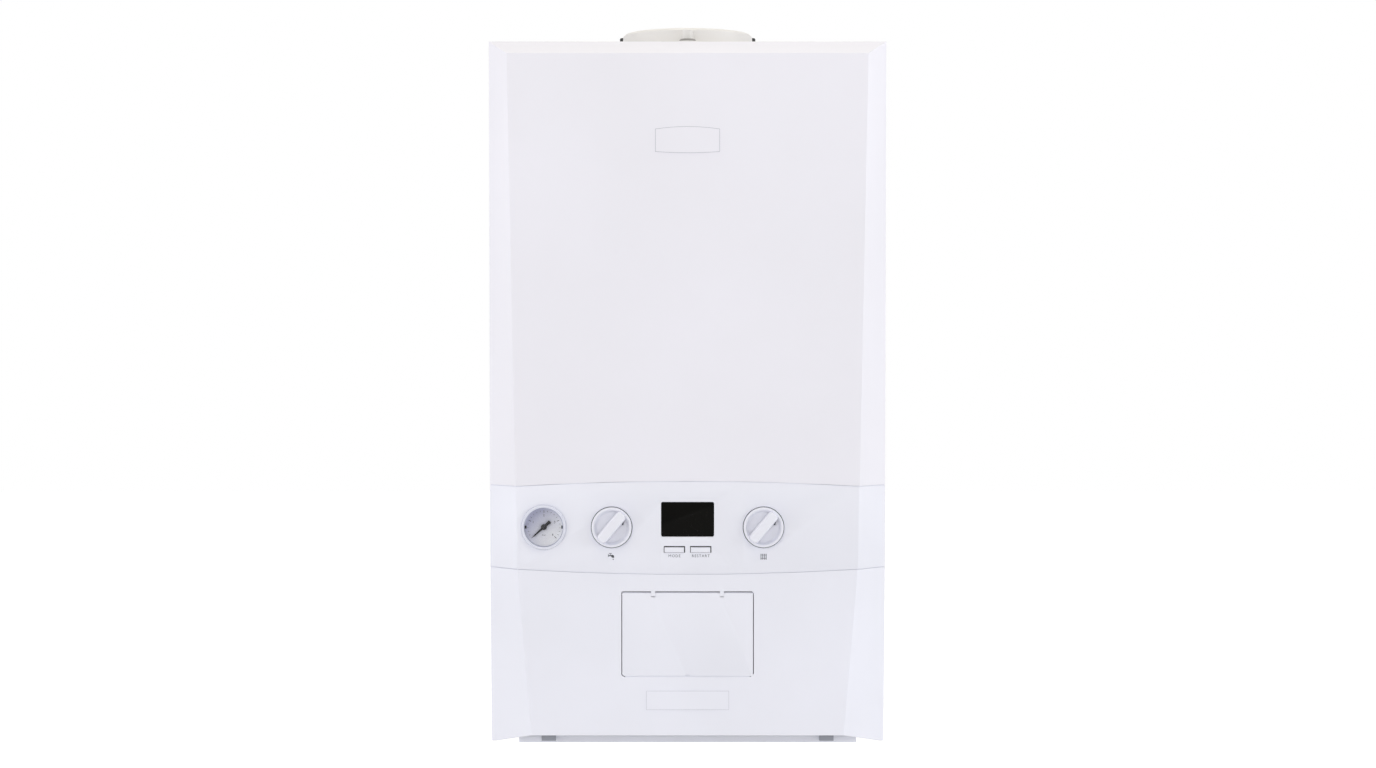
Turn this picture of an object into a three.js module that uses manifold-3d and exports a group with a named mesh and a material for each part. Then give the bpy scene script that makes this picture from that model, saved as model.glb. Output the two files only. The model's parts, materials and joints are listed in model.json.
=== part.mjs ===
// A wall-hung combi boiler, in millimetres, +Z up, its front facing -Y.
// The origin is on the wall, at the middle of the bracket that the boiler hangs on.
// Inside the boiler group, z = 0 is the underside of the casing and y = 0 is the wall.
import * as THREE from 'three';
import { mergeVertices } from 'three/addons/utils/BufferGeometryUtils.js';
import Module from 'manifold-3d';

const wasm = await Module();
wasm.setup();

// ---------------------------------------------------------------- driving dimensions

// Casing
const WIDTH = 395;
const HEIGHT = 700;
const DEPTH = 278;
const SHEET = 1.5;
const FIT = 0.3; // between pieces that touch
const SEAM = 0.8; // between outer covers
const COVER_DEPTH = 60; // of the front covers, from the front face to the side seam
const WALL_GAP = 5.5; // from the wall to the back panel
const FLANGE = 12;

// Front face: flat, with a crease at each side where a facet turns back
const TOP_CREASE_INSET = 19.2; // from the side of the casing
const MIDDLE_CREASE_INSET = 29.3;
const BOTTOM_CREASE_INSET = 43.1;
const FACET_SLOPE = 1.146; // how far back a facet goes for each millimetre outwards
const TOP_BEVEL_RISE = 14;
const TOP_BEVEL_DEPTH = 22;
const BOTTOM_RISE = 13;

// Seams between the covers, level over the facets and arched between them
const LOWER_SEAM_SIDE = 177.1;
const LOWER_SEAM_DIP = 4.9;
const FASCIA_HEIGHT = 81.9; // over the facets
const UPPER_SEAM_RISE = 4.9;
const SEAM_ARC_END = 2.2; // from the end of an arch to the crease

// Controls on the fascia
const MOULDING = 2.5;
const CONTROL_RISE = 41.4; // of the gauge and the knobs above the lower seam's ends
const GAUGE_INSET = 26.1; // from the crease
const GAUGE_RADIUS = 21.8;
const GAUGE_DEPTH = 24;
const GAUGE_RIM = 2.4;
const GAUGE_OVERLAP = 1; // of its bezel over the fascia
const GAUGE_PROUD = 1.5;
const BEZEL_CHAMFER = 0.6;
const LENS_THICKNESS = 1.8;
const LENS_RISE = 0.9;
const DIAL_DEPTH = 5;
const DIAL_THICKNESS = 1;
const NEEDLE_LENGTH = 14;
const NEEDLE_TAIL = 8;
const NEEDLE_THICKNESS = 0.8;
const NEEDLE_HUB_RADIUS = 2.2;
const NEEDLE_AXLE_RADIUS = 1;
const NEEDLE_AXLE_LENGTH = 8; // behind the dial's seat
const NEEDLE_ANGLE = (48 * Math.PI) / 180; // from straight down, towards the left
const KNOB_X = 75;
const KNOB_RADIUS = 20.5;
const KNOB_RING_GAP = 0.8;
const KNOB_PROUD = 3;
const KNOB_FLOOR = 8; // behind the front face
const KNOB_RIM = 2.5;
const KNOB_CHAMFER = 1;
const KNOB_DISH_SLOPE = 1.5;
const KNOB_DISH_DEPTH = 2.8;
const GRIP_HEIGHT = 6;
const GRIP_WIDTH = 8;
const GRIP_ANGLE = (50 * Math.PI) / 180;
const POT_RADIUS = 9;
const POT_DEPTH = 12;
const SPINDLE_RADIUS = 3;
const DISPLAY_WIDTH = 51.8;
const DISPLAY_HEIGHT = 33.8;
const DISPLAY_RISE = 49.3; // of its middle above the lower seam's ends
const DISPLAY_RIM = 1.5;
const DISPLAY_RIM_DEPTH = 2.7;
const BUTTON_WIDTH = 20.4;
const BUTTON_HEIGHT = 6;
const BUTTON_X = 13;
const BUTTON_RISE = 19.6; // above the lower seam's ends
const BUTTON_LENGTH = 16;
const BUTTON_RIM = 1.2;
const BUTTON_RIM_DEPTH = 2;
const BUTTON_PROUD = 0.8;
const BUTTON_TRAVEL = 1.5;

// Flap and the recess behind it
const FLAP_WIDTH = 129.2;
const FLAP_HEIGHT = 83;
const FLAP_DROP = 17.8; // below the middle of the lower seam
const FLAP_GAP = 0.8;
const FLAP_THICKNESS = 2.2; // and the radius of the barrel along its top edge
const FLAP_PIN_RADIUS = 0.7;
const NOTCH_RADIUS = 2.5;
const RECESS_DEPTH = 26;
const RECESS_WALL = 2;
const LUG_X = 34;
const LUG_WIDTH = 3;
const LUG_HEIGHT = 1.8; // below the hinge pin

// Badge plates, left bare
const PLATE_THICKNESS = 0.6;
const PLATE_GAP = 0.1;
const TOP_PLATE_WIDTH = 63.6;
const TOP_PLATE_DROP = 99.8; // of its middle below the casing's top
const TOP_PLATE_HEIGHT = 22.6;
const TOP_PLATE_BULGE = 2.4;
const LOW_PLATE_WIDTH = 81.6;
const LOW_PLATE_Z = 47.5;
const LOW_PLATE_HEIGHT = 18.7;

// Control pod, which swings down about its lower rear edge
const POD_FRONT_DEPTH = 30; // of the housing's lip behind the front face
const POD_BACK_DEPTH = 70;
const POD_INSET = 28.9; // from the side of the casing
const POD_WALL = 2.5;
const POD_TOP_GAP = 9; // below the upper seam's ends
const POD_FLOOR = 1.4;
const POD_LIP = 17;
const POST_RADIUS = 4;
const POST_X = 115;
const POST_LOW = 30;
const POST_DROP = 12; // of the middle posts below the lower seam
const BOARD_POST_INSET = 12; // from the board's end
const BOARD_POST_DROP = 8; // below the top posts
const HINGE_DEPTH = 75; // behind the front face
const HINGE_Z = 4.5;
const HINGE_ROD_RADIUS = 2;
const EAR_RADIUS = 4;
const EAR_WIDTH = 6;
const TAB_WIDTH = 4; // of the tabs that hold the hinge rod
const TAB_GAP = 4;
const TAB_RISE = 4.5;
const ROD_END = 4; // of the hinge rod beyond a tab
const BOARD_DEPTH = 44; // of the board behind the front face
const BOARD_THICKNESS = 1.6;
const BOARD_HALF = 105;
const BOARD_RISE = 8.9; // of its lower edge above the lower seam's ends
const BOARD_DROP = 5; // of its upper edge below the pod's top
const BOARD_PART_X = 49;
const BOARD_PART_RISE = 10; // above the board's lower edge
const SWITCH_HALF = 4;
const WIRING_BOX_DEPTH = 7;
const WIRING_BOX_LEFT = -110;
const WIRING_BOX_RIGHT = 55;
const WIRING_BOX_LOW = 60;
const WIRING_BOX_HIGH = 180;
const WIRING_BOX_CHAMFER = 5;
const LATCH_INSET = 30.1; // from the pod's end
const LATCH_WIDTH = 14;
const LATCH_HEIGHT = 6.4;
const LATCH_LOW = 4;
const LATCH_DEPTH = 7.2;
const LATCH_TRAVEL = 5;
const LATCH_STEM_RADIUS = 1.8;
const LATCH_HEAD_RADIUS = 3.2;
const LATCH_HEAD_HEIGHT = 2;
const LATCH_GUIDE_HALF = 5;
const LATCH_GUIDE_GAP = 0.6;
const LATCH_GUIDE_HEIGHT = 5;

// Flue turret
const TURRET_BACK = 140; // from the wall to its axis
const TURRET_RADIUS = 67.3;
const TURRET_TOP = 20.3; // above the casing
const GASKET = 2;
const GASKET_INSET = 2; // from the air passage
const TURRET_RIM = 6; // of its flange beyond its wall
const AIR_RADIUS = 50;
const FLUE_RADIUS = 30;
const FLUE_WALL = 2;
const FLUE_REACH = 6; // of the socket below the casing's top
const TURRET_FLANGE = 2;
const SCREW_OUT = 4; // from the turret's wall to a screw's axis
const SCREW_BACK = 25; // behind the turret's axis
const SCREW_HEAD_RADIUS = 4;
const SCREW_RADIUS = 2;
const SCREW_REACH = 8; // below the casing's top
const SCREW_SINK = 5.8; // of its seat below the turret's top
const BOSS_RADIUS = 6;
const CAP_RADIUS = 8.2;
const CAP_HEIGHT = 2.2;
const CAP_PAD = 3; // of the flange around the cap
const BOSS_SINK = 3; // these three are below the turret's top
const SOCKET_SINK = 2;
const WEB_SINK = 6;

// Wall bracket
const BRACKET_DROP = 80; // of its middle below the casing's top
const BRACKET_HALF = 150;
const BRACKET_SHEET = 1.5;
const BRACKET_STRIP_HALF = 20;
const BRACKET_LIP = 40; // of its lip above its middle
const BRACKET_HOLE_RADIUS = 4;
const BRACKET_HOLE_INSET = 30;
const HOOK_GAP = 0.4;
const HOOK_INSET = 10; // from the bracket's end
const HOOK_DROP = 14; // of the hook's lower edge below the lip's top

// Heat engine
const EXCHANGER_HALF = 95;
const EXCHANGER_BACK = 90; // from the wall
const EXCHANGER_DEPTH = 110;
const EXCHANGER_DROP = 160; // of its top below the casing's top
const EXCHANGER_HEIGHT = 190;
const EXCHANGER_WALL = 16;
const FIN_DEPTH = 5;
const FIN_COUNT = 9;
const SUMP_HEIGHT = 49;
const SUMP_WALL = 4;
const DRAIN_RADIUS = 8;
const MANIFOLD_HEIGHT = 22;
const MANIFOLD_WALL = 5;
const NECK_WIDTH = 60;
const NECK_HEIGHT = 44;
const NECK_REACH = 70; // beyond the heat exchanger
const NECK_HALF_DEPTH = 22;
const MOUTH_HALF_DEPTH = 18; // of the fan's mouth, which stands on the neck
const MOUTH_WIDTH = 38;
const BURNER_RADIUS = 30;
const BURNER_LENGTH = 110;
const BURNER_WALL = 3;
const BURNER_FLANGE = 8;
const ELECTRODE_RADIUS = 2.6;
const ELECTRODE_X = 55;
const ELECTRODE_TIP = 60; // below the manifold
const ELECTRODE_SLEEVE = 12;
const ELECTRODE_WIRE = 1.2;
const ELECTRODE_COLLAR = 6;
const ELECTRODE_TOP = 22; // above the manifold
const DUCT_WALL = 1.5;
const DUCT_GAP = 2; // from the heat exchanger
const DUCT_BEND = 45;
const DUCT_TOP_LENGTH = 40;
const DUCT_SLANT_DROP = 70;
const FAN_RADIUS = 46;
const FAN_WIDTH = 44;
const FAN_WALL = 3;
const FAN_EYE = 18;
const FAN_MOTOR_RADIUS = 28;
const FAN_MOTOR_LENGTH = 26;
const FAN_RISE = 10; // of the drum above the neck
const FAN_SHAFT = 3;
const FAN_SHAFT_LENGTH = 14;
const FAN_END_GAP = 3; // in front of and behind the impeller
const FAN_TIP_GAP = 4;
const BLADE_THICKNESS = 1.8;
const FAN_BLADES = 12;
const VENTURI_LENGTH = 38;
const VENTURI_RADIUS = 24;
const VENTURI_WALL = 3;
const VENTURI_FLANGE = 4;
const GAS_VALVE_WIDTH = 42;
const GAS_VALVE_DEPTH = 52;
const GAS_VALVE_HEIGHT = 100;
const GAS_VALVE_DROP = 120; // of its top below the fan's axis
const GAS_PORT_RADIUS = 14;
const GAS_PORT_LENGTH = 12;
const GAS_COIL_RADIUS = 13;
const GAS_COIL_LENGTH = 20;
const GAS_COIL_INSET = 34;
const INJECTOR_RADIUS = 6;

// Waterways
const TAIL_BACK = 100; // from the wall
const TAIL_PITCH = 65;
const TAIL_END = 1; // above the underside
const WIDE_PIPE = 11;
const NARROW_PIPE = 7.5;
const GAS_PIPE = 9;
const SMALL_BEND = 14;
const RETURN_BEND = 22;
const GAS_STEP = 38; // forwards, to pass in front of the plate pack
const GAS_STEP_LOW = 24;
const GAS_STEP_HIGH = 52;
const GAS_TURN_DROP = 30; // where it leans towards the gas valve, below the return pipe's crossing
const GAS_LEAN = 18; // how far behind the valve's middle it climbs past the crossing
const GAS_LEAN_DROP = 5;
const GAS_LEAN_RISE = 40;
const WATER_STEP_LOW = 20;
const WATER_STEP_TOP = 18; // below the plate pack
const HOT_PORT_IN = 8; // from a tail's axis towards the middle
const COLD_PORT_IN = 20;
const PIPE_WALL = 1.2;
const PIPE_BEND = 24;
const FLOOR_Z = 8;
const HOLE_GAP = 1.5;
const VESSEL_RADIUS = 150;
const VESSEL_DEPTH = 68;
const VESSEL_EDGE = 18;
const VESSEL_WALL = 2;
const VESSEL_PORT = 6;
const VESSEL_DROP = 220; // of its middle below the casing's top
const SHELF_WIDTH = 20;
const SHELF_THICKNESS = 3;
const SHELF_X = 80;
const SHELF_INSET = 10; // from the heat exchanger's front
const RISER_OFFSET = 5; // in front of the tails
const RISER_GAP = 5; // between the flow and the return
const PORT_INSET = 20; // of a pipe's axis from the heat exchanger's end
const CROSSING_GAP = 17; // under the shelf
const PUMP_OFFSET = 25; // from the return tail
const PUMP_Z = 95;
const PUMP_BOSS = 2; // of metal around a pipe's end
const PUMP_SHAFT = 3.5;
const PUMP_SHAFT_LENGTH = 20;
const PUMP_FLANGE = 6;
const PUMP_MOTOR_CHAMFER = 5;
const PUMP_END_GAP = 5; // between the impeller and the motor
const PUMP_IMPELLER_WIDTH = 30;
const VOLUTE_RADIUS = 42;
const VOLUTE_SET = 30; // of its back behind the tails
const VOLUTE_DEPTH = 50;
const VOLUTE_WALL = 6;
const OUTLET_LENGTH = 4;
const INLET_LENGTH = 3;
const PUMP_MOTOR_RADIUS = 39;
const PUMP_MOTOR_LENGTH = 58;
const PUMP_IMPELLER_RADIUS = 30;
const PUMP_BLADES = 7;
const PLATE_PACK_SET = 15; // of its middle behind the tails
const PLATE_RIDGES = 12;
const PLATE_RIDGE_HEIGHT = 3;
const PLATE_PACK_DEPTH = 50;
const PLATE_PACK_LOW = 60;
const PLATE_PACK_HEIGHT = 75;
const DIVERTER_WIDTH = 70;
const DIVERTER_DEPTH = 50;
const DIVERTER_LOW = 85;
const DIVERTER_HEIGHT = 55;
const DIVERTER_MOTOR_RADIUS = 24;
const DIVERTER_MOTOR_LENGTH = 50;
const DIVERTER_SPINDLE_RADIUS = 3;
const DIVERTER_SPINDLE_IN_HEAD = 30;
const DIVERTER_TRAVEL = 6;
const DIVERTER_WALL = 3;
const TRAP_RADIUS = 22;
const TRAP_HEIGHT = 145;
const TRAP_X = 40;
const TRAP_NECK = 12;
const TRAP_WALL = 3;
const RELIEF_RADIUS = 10;
const RELIEF_LENGTH = 14;
const RELIEF_STEM = 4;
const RELIEF_STEM_LENGTH = 8;
const RELIEF_OUTLET = 6;
const RELIEF_OUTLET_LENGTH = 22;
const RELIEF_KNOB_RADIUS = 13;
const RELIEF_KNOB_LENGTH = 13;

// ---------------------------------------------------------------- places that follow

// Casing and front covers
const HALF = WIDTH / 2;
const FRONT = -DEPTH;
const SIDE_SEAM = FRONT + COVER_DEPTH;
const SIDE_FRONT = SIDE_SEAM + SEAM;
const SIDE_TOP = HEIGHT - SHEET - FIT;
const INSIDE_HALF = HALF - SHEET - FIT;
const BACK_FACE = -WALL_GAP;
const BACK_PANEL_REAR = BACK_FACE - SHEET - FIT;
const BACK_INNER = BACK_PANEL_REAR - SHEET;
const TOP_CREASE_X = HALF - TOP_CREASE_INSET;
const MIDDLE_CREASE_X = HALF - MIDDLE_CREASE_INSET;
const BOTTOM_CREASE_X = HALF - BOTTOM_CREASE_INSET;
const MIDDLE_CREASE_Z = LOWER_SEAM_SIDE;
const FACET_DEPTH_AT_BOTTOM = BOTTOM_CREASE_INSET * FACET_SLOPE;
const LOWER_SEAM_MIDDLE = LOWER_SEAM_SIDE - LOWER_SEAM_DIP;
const UPPER_SEAM_SIDE = LOWER_SEAM_SIDE + FASCIA_HEIGHT;
const UPPER_SEAM_MIDDLE = UPPER_SEAM_SIDE + UPPER_SEAM_RISE;
const SEAM_ARC_HALF = MIDDLE_CREASE_X - SEAM_ARC_END;
const TOP_PLATE_Z = HEIGHT - TOP_PLATE_DROP;

// Controls
const CONTROL_Z = LOWER_SEAM_SIDE + CONTROL_RISE;
const DISPLAY_Z = LOWER_SEAM_SIDE + DISPLAY_RISE;
const BUTTON_Z = LOWER_SEAM_SIDE + BUTTON_RISE;
const GAUGE_X = GAUGE_INSET - MIDDLE_CREASE_X;
const DISPLAY_BACK = MOULDING + FIT + DISPLAY_RIM_DEPTH;

// Flap
const FLAP_TOP = LOWER_SEAM_MIDDLE - FLAP_DROP;
const FLAP_BOTTOM = FLAP_TOP - FLAP_HEIGHT;
const APERTURE_HALF = FLAP_WIDTH / 2 + FLAP_GAP;
const APERTURE_LOW = FLAP_BOTTOM - FLAP_GAP;
const APERTURE_HIGH = FLAP_TOP + FLAP_GAP;
const FLAP_AXIS_Y = FRONT + FLAP_THICKNESS;
const FLAP_AXIS_Z = FLAP_TOP - FLAP_THICKNESS;
const PIN_HOLE_RADIUS = FLAP_PIN_RADIUS + FIT;
const PIN_HALF = APERTURE_HALF + RECESS_WALL / 2;

// Control pod
const POD_HALF = HALF - POD_INSET;
const POD_TOP = UPPER_SEAM_SIDE - POD_TOP_GAP;
const POD_FRONT = FRONT + POD_FRONT_DEPTH;
const POD_BACK = FRONT + POD_BACK_DEPTH;
const POST_MIDDLE = LOWER_SEAM_MIDDLE - POST_DROP;
const POST_HIGH = POD_TOP - POD_WALL - POST_RADIUS - FIT;
const HINGE_Y = FRONT + HINGE_DEPTH;
const EAR_X = POD_HALF - EAR_WIDTH;
const BOARD_FRONT = FRONT + BOARD_DEPTH;
const BOARD_LOW = LOWER_SEAM_SIDE + BOARD_RISE;
const BOARD_HIGH = POD_TOP - BOARD_DROP;
const LATCH_X = POD_HALF - LATCH_INSET;
const LATCH_Y = POD_FRONT - LATCH_DEPTH / 2 - FIT;
const GUIDE_LOW = LATCH_LOW + LATCH_HEIGHT + LATCH_GUIDE_GAP;
const GUIDE_HIGH = GUIDE_LOW + LATCH_GUIDE_HEIGHT;
const STEM_TOP = GUIDE_HIGH + LATCH_TRAVEL + FIT;
const FLOOR_FRONT = HINGE_Y + EAR_RADIUS;

// Wall bracket and hook
const BRACKET_Z = HEIGHT - BRACKET_DROP;
const BRACKET_TOP = BRACKET_Z + BRACKET_LIP;
const HOOK_TOP = BRACKET_TOP + HOOK_GAP + BRACKET_SHEET;
const HOOK_LOW = BRACKET_TOP - HOOK_DROP;
const HOOK_FRONT = -FIT - BRACKET_SHEET;

// Flue turret
const TURRET_Y = -TURRET_BACK;
const TURRET_LOW = HEIGHT + GASKET + 2 * FIT;
const TURRET_HIGH = HEIGHT + TURRET_TOP;
const SCREW_Y = TURRET_Y + SCREW_BACK;
const SCREW_X = Math.sqrt((TURRET_RADIUS + SCREW_OUT) ** 2 - SCREW_BACK ** 2);
const SCREW_SEAT = TURRET_HIGH - SCREW_SINK;
const FLUE_LOW = HEIGHT - FLUE_REACH;
const CAP_Y = -TURRET_RADIUS - CAP_RADIUS + FIT;
const BOSS_LOW = TURRET_LOW + TURRET_FLANGE + CAP_HEIGHT + 2 * FIT;

// Heat engine
const EXCHANGER_REAR = -EXCHANGER_BACK;
const EXCHANGER_FRONT = EXCHANGER_REAR - EXCHANGER_DEPTH;
const EXCHANGER_Y = EXCHANGER_REAR - EXCHANGER_DEPTH / 2;
const EXCHANGER_HIGH = HEIGHT - EXCHANGER_DROP;
const EXCHANGER_LOW = EXCHANGER_HIGH - EXCHANGER_HEIGHT;
const CHAMBER_HALF = EXCHANGER_HALF - EXCHANGER_WALL;
const SUMP_HIGH = EXCHANGER_LOW - FIT;
const SUMP_LOW = SUMP_HIGH - SUMP_HEIGHT;
const DUCT_RADIUS = FLUE_RADIUS + DUCT_WALL;
const DUCT_X = EXCHANGER_HALF + DUCT_RADIUS + DUCT_GAP;
const SUMP_RIGHT = DUCT_X + DUCT_RADIUS;
const MANIFOLD_LOW = EXCHANGER_HIGH + FIT;
const MANIFOLD_HIGH = MANIFOLD_LOW + MANIFOLD_HEIGHT;
const NECK_HIGH = MANIFOLD_LOW + NECK_HEIGHT;
const NECK_LEFT = -EXCHANGER_HALF - NECK_REACH;
const BURNER_BORE = BURNER_RADIUS - BURNER_WALL;
const FAN_X = NECK_LEFT + FAN_RADIUS;
const FAN_Z = NECK_HIGH + FIT + FAN_RADIUS + FAN_RISE;
const FAN_FRONT = EXCHANGER_Y - FAN_WIDTH / 2;
const FAN_REAR = EXCHANGER_Y + FAN_WIDTH / 2;
const VENTURI_REAR = FAN_FRONT - FIT;
const INJECTOR_Y = VENTURI_REAR - VENTURI_LENGTH / 2;
const GAS_VALVE_HIGH = FAN_Z - GAS_VALVE_DROP;
const GAS_VALVE_LOW = GAS_VALVE_HIGH - GAS_VALVE_HEIGHT;

// Waterways
const TAIL_Y = -TAIL_BACK;
const TAIL_XS = [-2, -1, 0, 1, 2].map((step) => step * TAIL_PITCH);
const RISER_Y = TAIL_Y - RISER_OFFSET;
const RETURN_TAIL_X = 2 * TAIL_PITCH;
const PUMP_X = RETURN_TAIL_X - PUMP_OFFSET;
const PUMP_REAR = TAIL_Y + VOLUTE_SET;
const PUMP_FACE = PUMP_REAR - VOLUTE_DEPTH;
const PUMP_OUTLET_TOP = PUMP_Z + VOLUTE_RADIUS + OUTLET_LENGTH;
const PUMP_INLET_LOW = PUMP_Z - VOLUTE_RADIUS - INLET_LENGTH;
const DIVERTER_X = -2 * TAIL_PITCH;
const DIVERTER_FRONT = TAIL_Y - DIVERTER_DEPTH / 2;
const DIVERTER_REAR = DIVERTER_FRONT + DIVERTER_DEPTH;
const DIVERTER_HIGH = DIVERTER_LOW + DIVERTER_HEIGHT;
const DIVERTER_Z = DIVERTER_LOW + DIVERTER_HEIGHT / 2;
const PLATE_PACK_Y = TAIL_Y + PLATE_PACK_SET;
const FLOW_RISER_X = DIVERTER_X - DIVERTER_WIDTH / 2 + WIDE_PIPE + PUMP_BOSS;
const RETURN_RISER_X = FLOW_RISER_X + 2 * WIDE_PIPE + RISER_GAP;
const FLOW_PORT_Z = EXCHANGER_HIGH - PORT_INSET;
const RETURN_PORT_Z = EXCHANGER_LOW + PORT_INSET;
const CROSSING_Z = SUMP_LOW - SHELF_THICKNESS - WIDE_PIPE - CROSSING_GAP;
const VESSEL_Z = HEIGHT - VESSEL_DROP;

// ---------------------------------------------------------------- solids

// A closed shape with its shared corners merged, ready to be joined or cut.
function toSolid(geometry) {
  const bare = new THREE.BufferGeometry();
  bare.setAttribute('position', geometry.getAttribute('position'));
  bare.setIndex(geometry.getIndex());
  const merged = mergeVertices(bare, 1e-3);
  const corners = merged.getIndex().array;
  const triangles = [];
  for (let i = 0; i < corners.length; i += 3) {
    const [a, b, c] = [corners[i], corners[i + 1], corners[i + 2]];
    if (a !== b && b !== c && c !== a) triangles.push(a, b, c);
  }
  return new wasm.Manifold(new wasm.Mesh({
    numProp: 3,
    vertProperties: new Float32Array(merged.getAttribute('position').array),
    triVerts: new Uint32Array(triangles),
  }));
}

function toGeometry(solid) {
  const mesh = solid.getMesh();
  const geometry = new THREE.BufferGeometry();
  geometry.setAttribute('position', new THREE.BufferAttribute(mesh.vertProperties, 3));
  geometry.setIndex(new THREE.BufferAttribute(mesh.triVerts, 1));
  return geometry;
}

function combined(operation, first, others) {
  let solid = toSolid(first);
  for (const other of others.flat()) solid = solid[operation](toSolid(other));
  return toGeometry(solid);
}

const join = (first, ...others) => combined('add', first, others);
const cut = (first, ...others) => combined('subtract', first, others);

// ---------------------------------------------------------------- basic shapes

function block(xLow, xHigh, yLow, yHigh, zLow, zHigh) {
  const box = new THREE.BoxGeometry(xHigh - xLow, yHigh - yLow, zHigh - zLow);
  return box.translate((xLow + xHigh) / 2, (yLow + yHigh) / 2, (zLow + zHigh) / 2);
}

// A round bar between two points.
function rod(radius, from, to, sides = 16) {
  const start = new THREE.Vector3(...from);
  const end = new THREE.Vector3(...to);
  const along = end.clone().sub(start);
  const bar = new THREE.CylinderGeometry(radius, radius, along.length(), sides);
  const up = new THREE.Vector3(0, 1, 0);
  bar.applyQuaternion(new THREE.Quaternion().setFromUnitVectors(up, along.normalize()));
  const middle = start.add(end).multiplyScalar(0.5);
  return bar.translate(middle.x, middle.y, middle.z);
}

// An outline in X and Z, given a thickness forwards from yBack.
function plate(points, yBack, thickness) {
  const outline = new THREE.Shape(points.map(([x, z]) => new THREE.Vector2(x, z)));
  const solid = new THREE.ExtrudeGeometry(outline, { depth: thickness, bevelEnabled: false });
  return solid.rotateX(Math.PI / 2).translate(0, yBack, 0);
}

// An outline in X and Y, given a height upwards from zLow.
function column(points, zLow, height) {
  const outline = new THREE.Shape(points.map(([x, y]) => new THREE.Vector2(x, y)));
  const solid = new THREE.ExtrudeGeometry(outline, { depth: height, bevelEnabled: false });
  return solid.translate(0, 0, zLow);
}

// An outline in Y and Z, given a length along X from xLow.
function beam(points, xLow, length) {
  const outline = new THREE.Shape(points.map(([y, z]) => new THREE.Vector2(y, z)));
  const solid = new THREE.ExtrudeGeometry(outline, { depth: length, bevelEnabled: false });
  return solid.rotateX(Math.PI / 2).rotateZ(Math.PI / 2).translate(xLow, 0, 0);
}

// A profile of [radius, height] pairs, turned about a vertical axis.
function turnedUp(profile, sides) {
  const points = profile.map(([radius, height]) => new THREE.Vector2(radius, height));
  return new THREE.LatheGeometry(points, sides).rotateX(Math.PI / 2);
}

// The same, with the heights running forwards (-Y).
function turnedForward(profile, sides) {
  return turnedUp(profile, sides).rotateX(Math.PI / 2);
}

// Everything beyond a plane, as a block much larger than the boiler.
function beyond(point, normal) {
  const reach = 4 * HEIGHT;
  const space = new THREE.BoxGeometry(reach, reach, reach).translate(0, 0, reach / 2);
  const out = new THREE.Vector3(0, 0, 1);
  space.applyQuaternion(new THREE.Quaternion().setFromUnitVectors(out, normal));
  return space.translate(point.x, point.y, point.z);
}

// A pipe's route: straight runs with a round bend at each corner.
class PipeRoute extends THREE.Curve {
  constructor(corners, bendRadius, bendSteps) {
    super();
    const points = corners.map((corner) => new THREE.Vector3(...corner));
    const directions = points.slice(1).map((point, i) => point.clone().sub(points[i]).normalize());
    this.stations = [{ point: points[0], tangent: directions[0] }];
    for (let i = 1; i < points.length - 1; i += 1) {
      this.addBend(points[i], directions[i - 1], directions[i], bendRadius, bendSteps);
    }
    this.stations.push({ point: points.at(-1), tangent: directions.at(-1) });
  }

  addBend(corner, before, after, radius, steps) {
    const turn = before.angleTo(after);
    const inwards = after.clone().addScaledVector(before, -Math.cos(turn)).normalize();
    const start = corner.clone().addScaledVector(before, -radius * Math.tan(turn / 2));
    const centre = start.clone().addScaledVector(inwards, radius);
    for (let step = 0; step <= steps; step += 1) {
      const angle = (turn * step) / steps;
      const point = centre.clone().addScaledVector(inwards, -radius * Math.cos(angle));
      point.addScaledVector(before, radius * Math.sin(angle));
      const tangent = before.clone().multiplyScalar(Math.cos(angle));
      tangent.addScaledVector(inwards, Math.sin(angle));
      this.stations.push({ point, tangent });
    }
  }

  stationAt(share) {
    return this.stations[Math.round(share * (this.stations.length - 1))];
  }

  getPointAt(share) {
    return this.stationAt(share).point.clone();
  }

  getTangentAt(share) {
    return this.stationAt(share).tangent.clone();
  }
}

function circlePoints(radius, sides) {
  const turn = (2 * Math.PI) / sides;
  return Array.from({ length: sides }, (_, i) => (
    new THREE.Vector2(radius * Math.cos(i * turn), radius * Math.sin(i * turn))
  ));
}

const PLAIN_PIPE = { wall: PIPE_WALL, bend: PIPE_BEND, sides: 8, bendSteps: 3 };

function pipe(corners, radius, options = {}) {
  const { wall, bend, sides, bendSteps } = { ...PLAIN_PIPE, ...options };
  const section = new THREE.Shape(circlePoints(radius, sides));
  section.holes.push(new THREE.Path(circlePoints(radius - wall, sides)));
  const route = new PipeRoute(corners, bend, bendSteps);
  return new THREE.ExtrudeGeometry(section, {
    steps: route.stations.length - 1,
    extrudePath: route,
    bevelEnabled: false,
  });
}

// ---------------------------------------------------------------- finishes and placing

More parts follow.
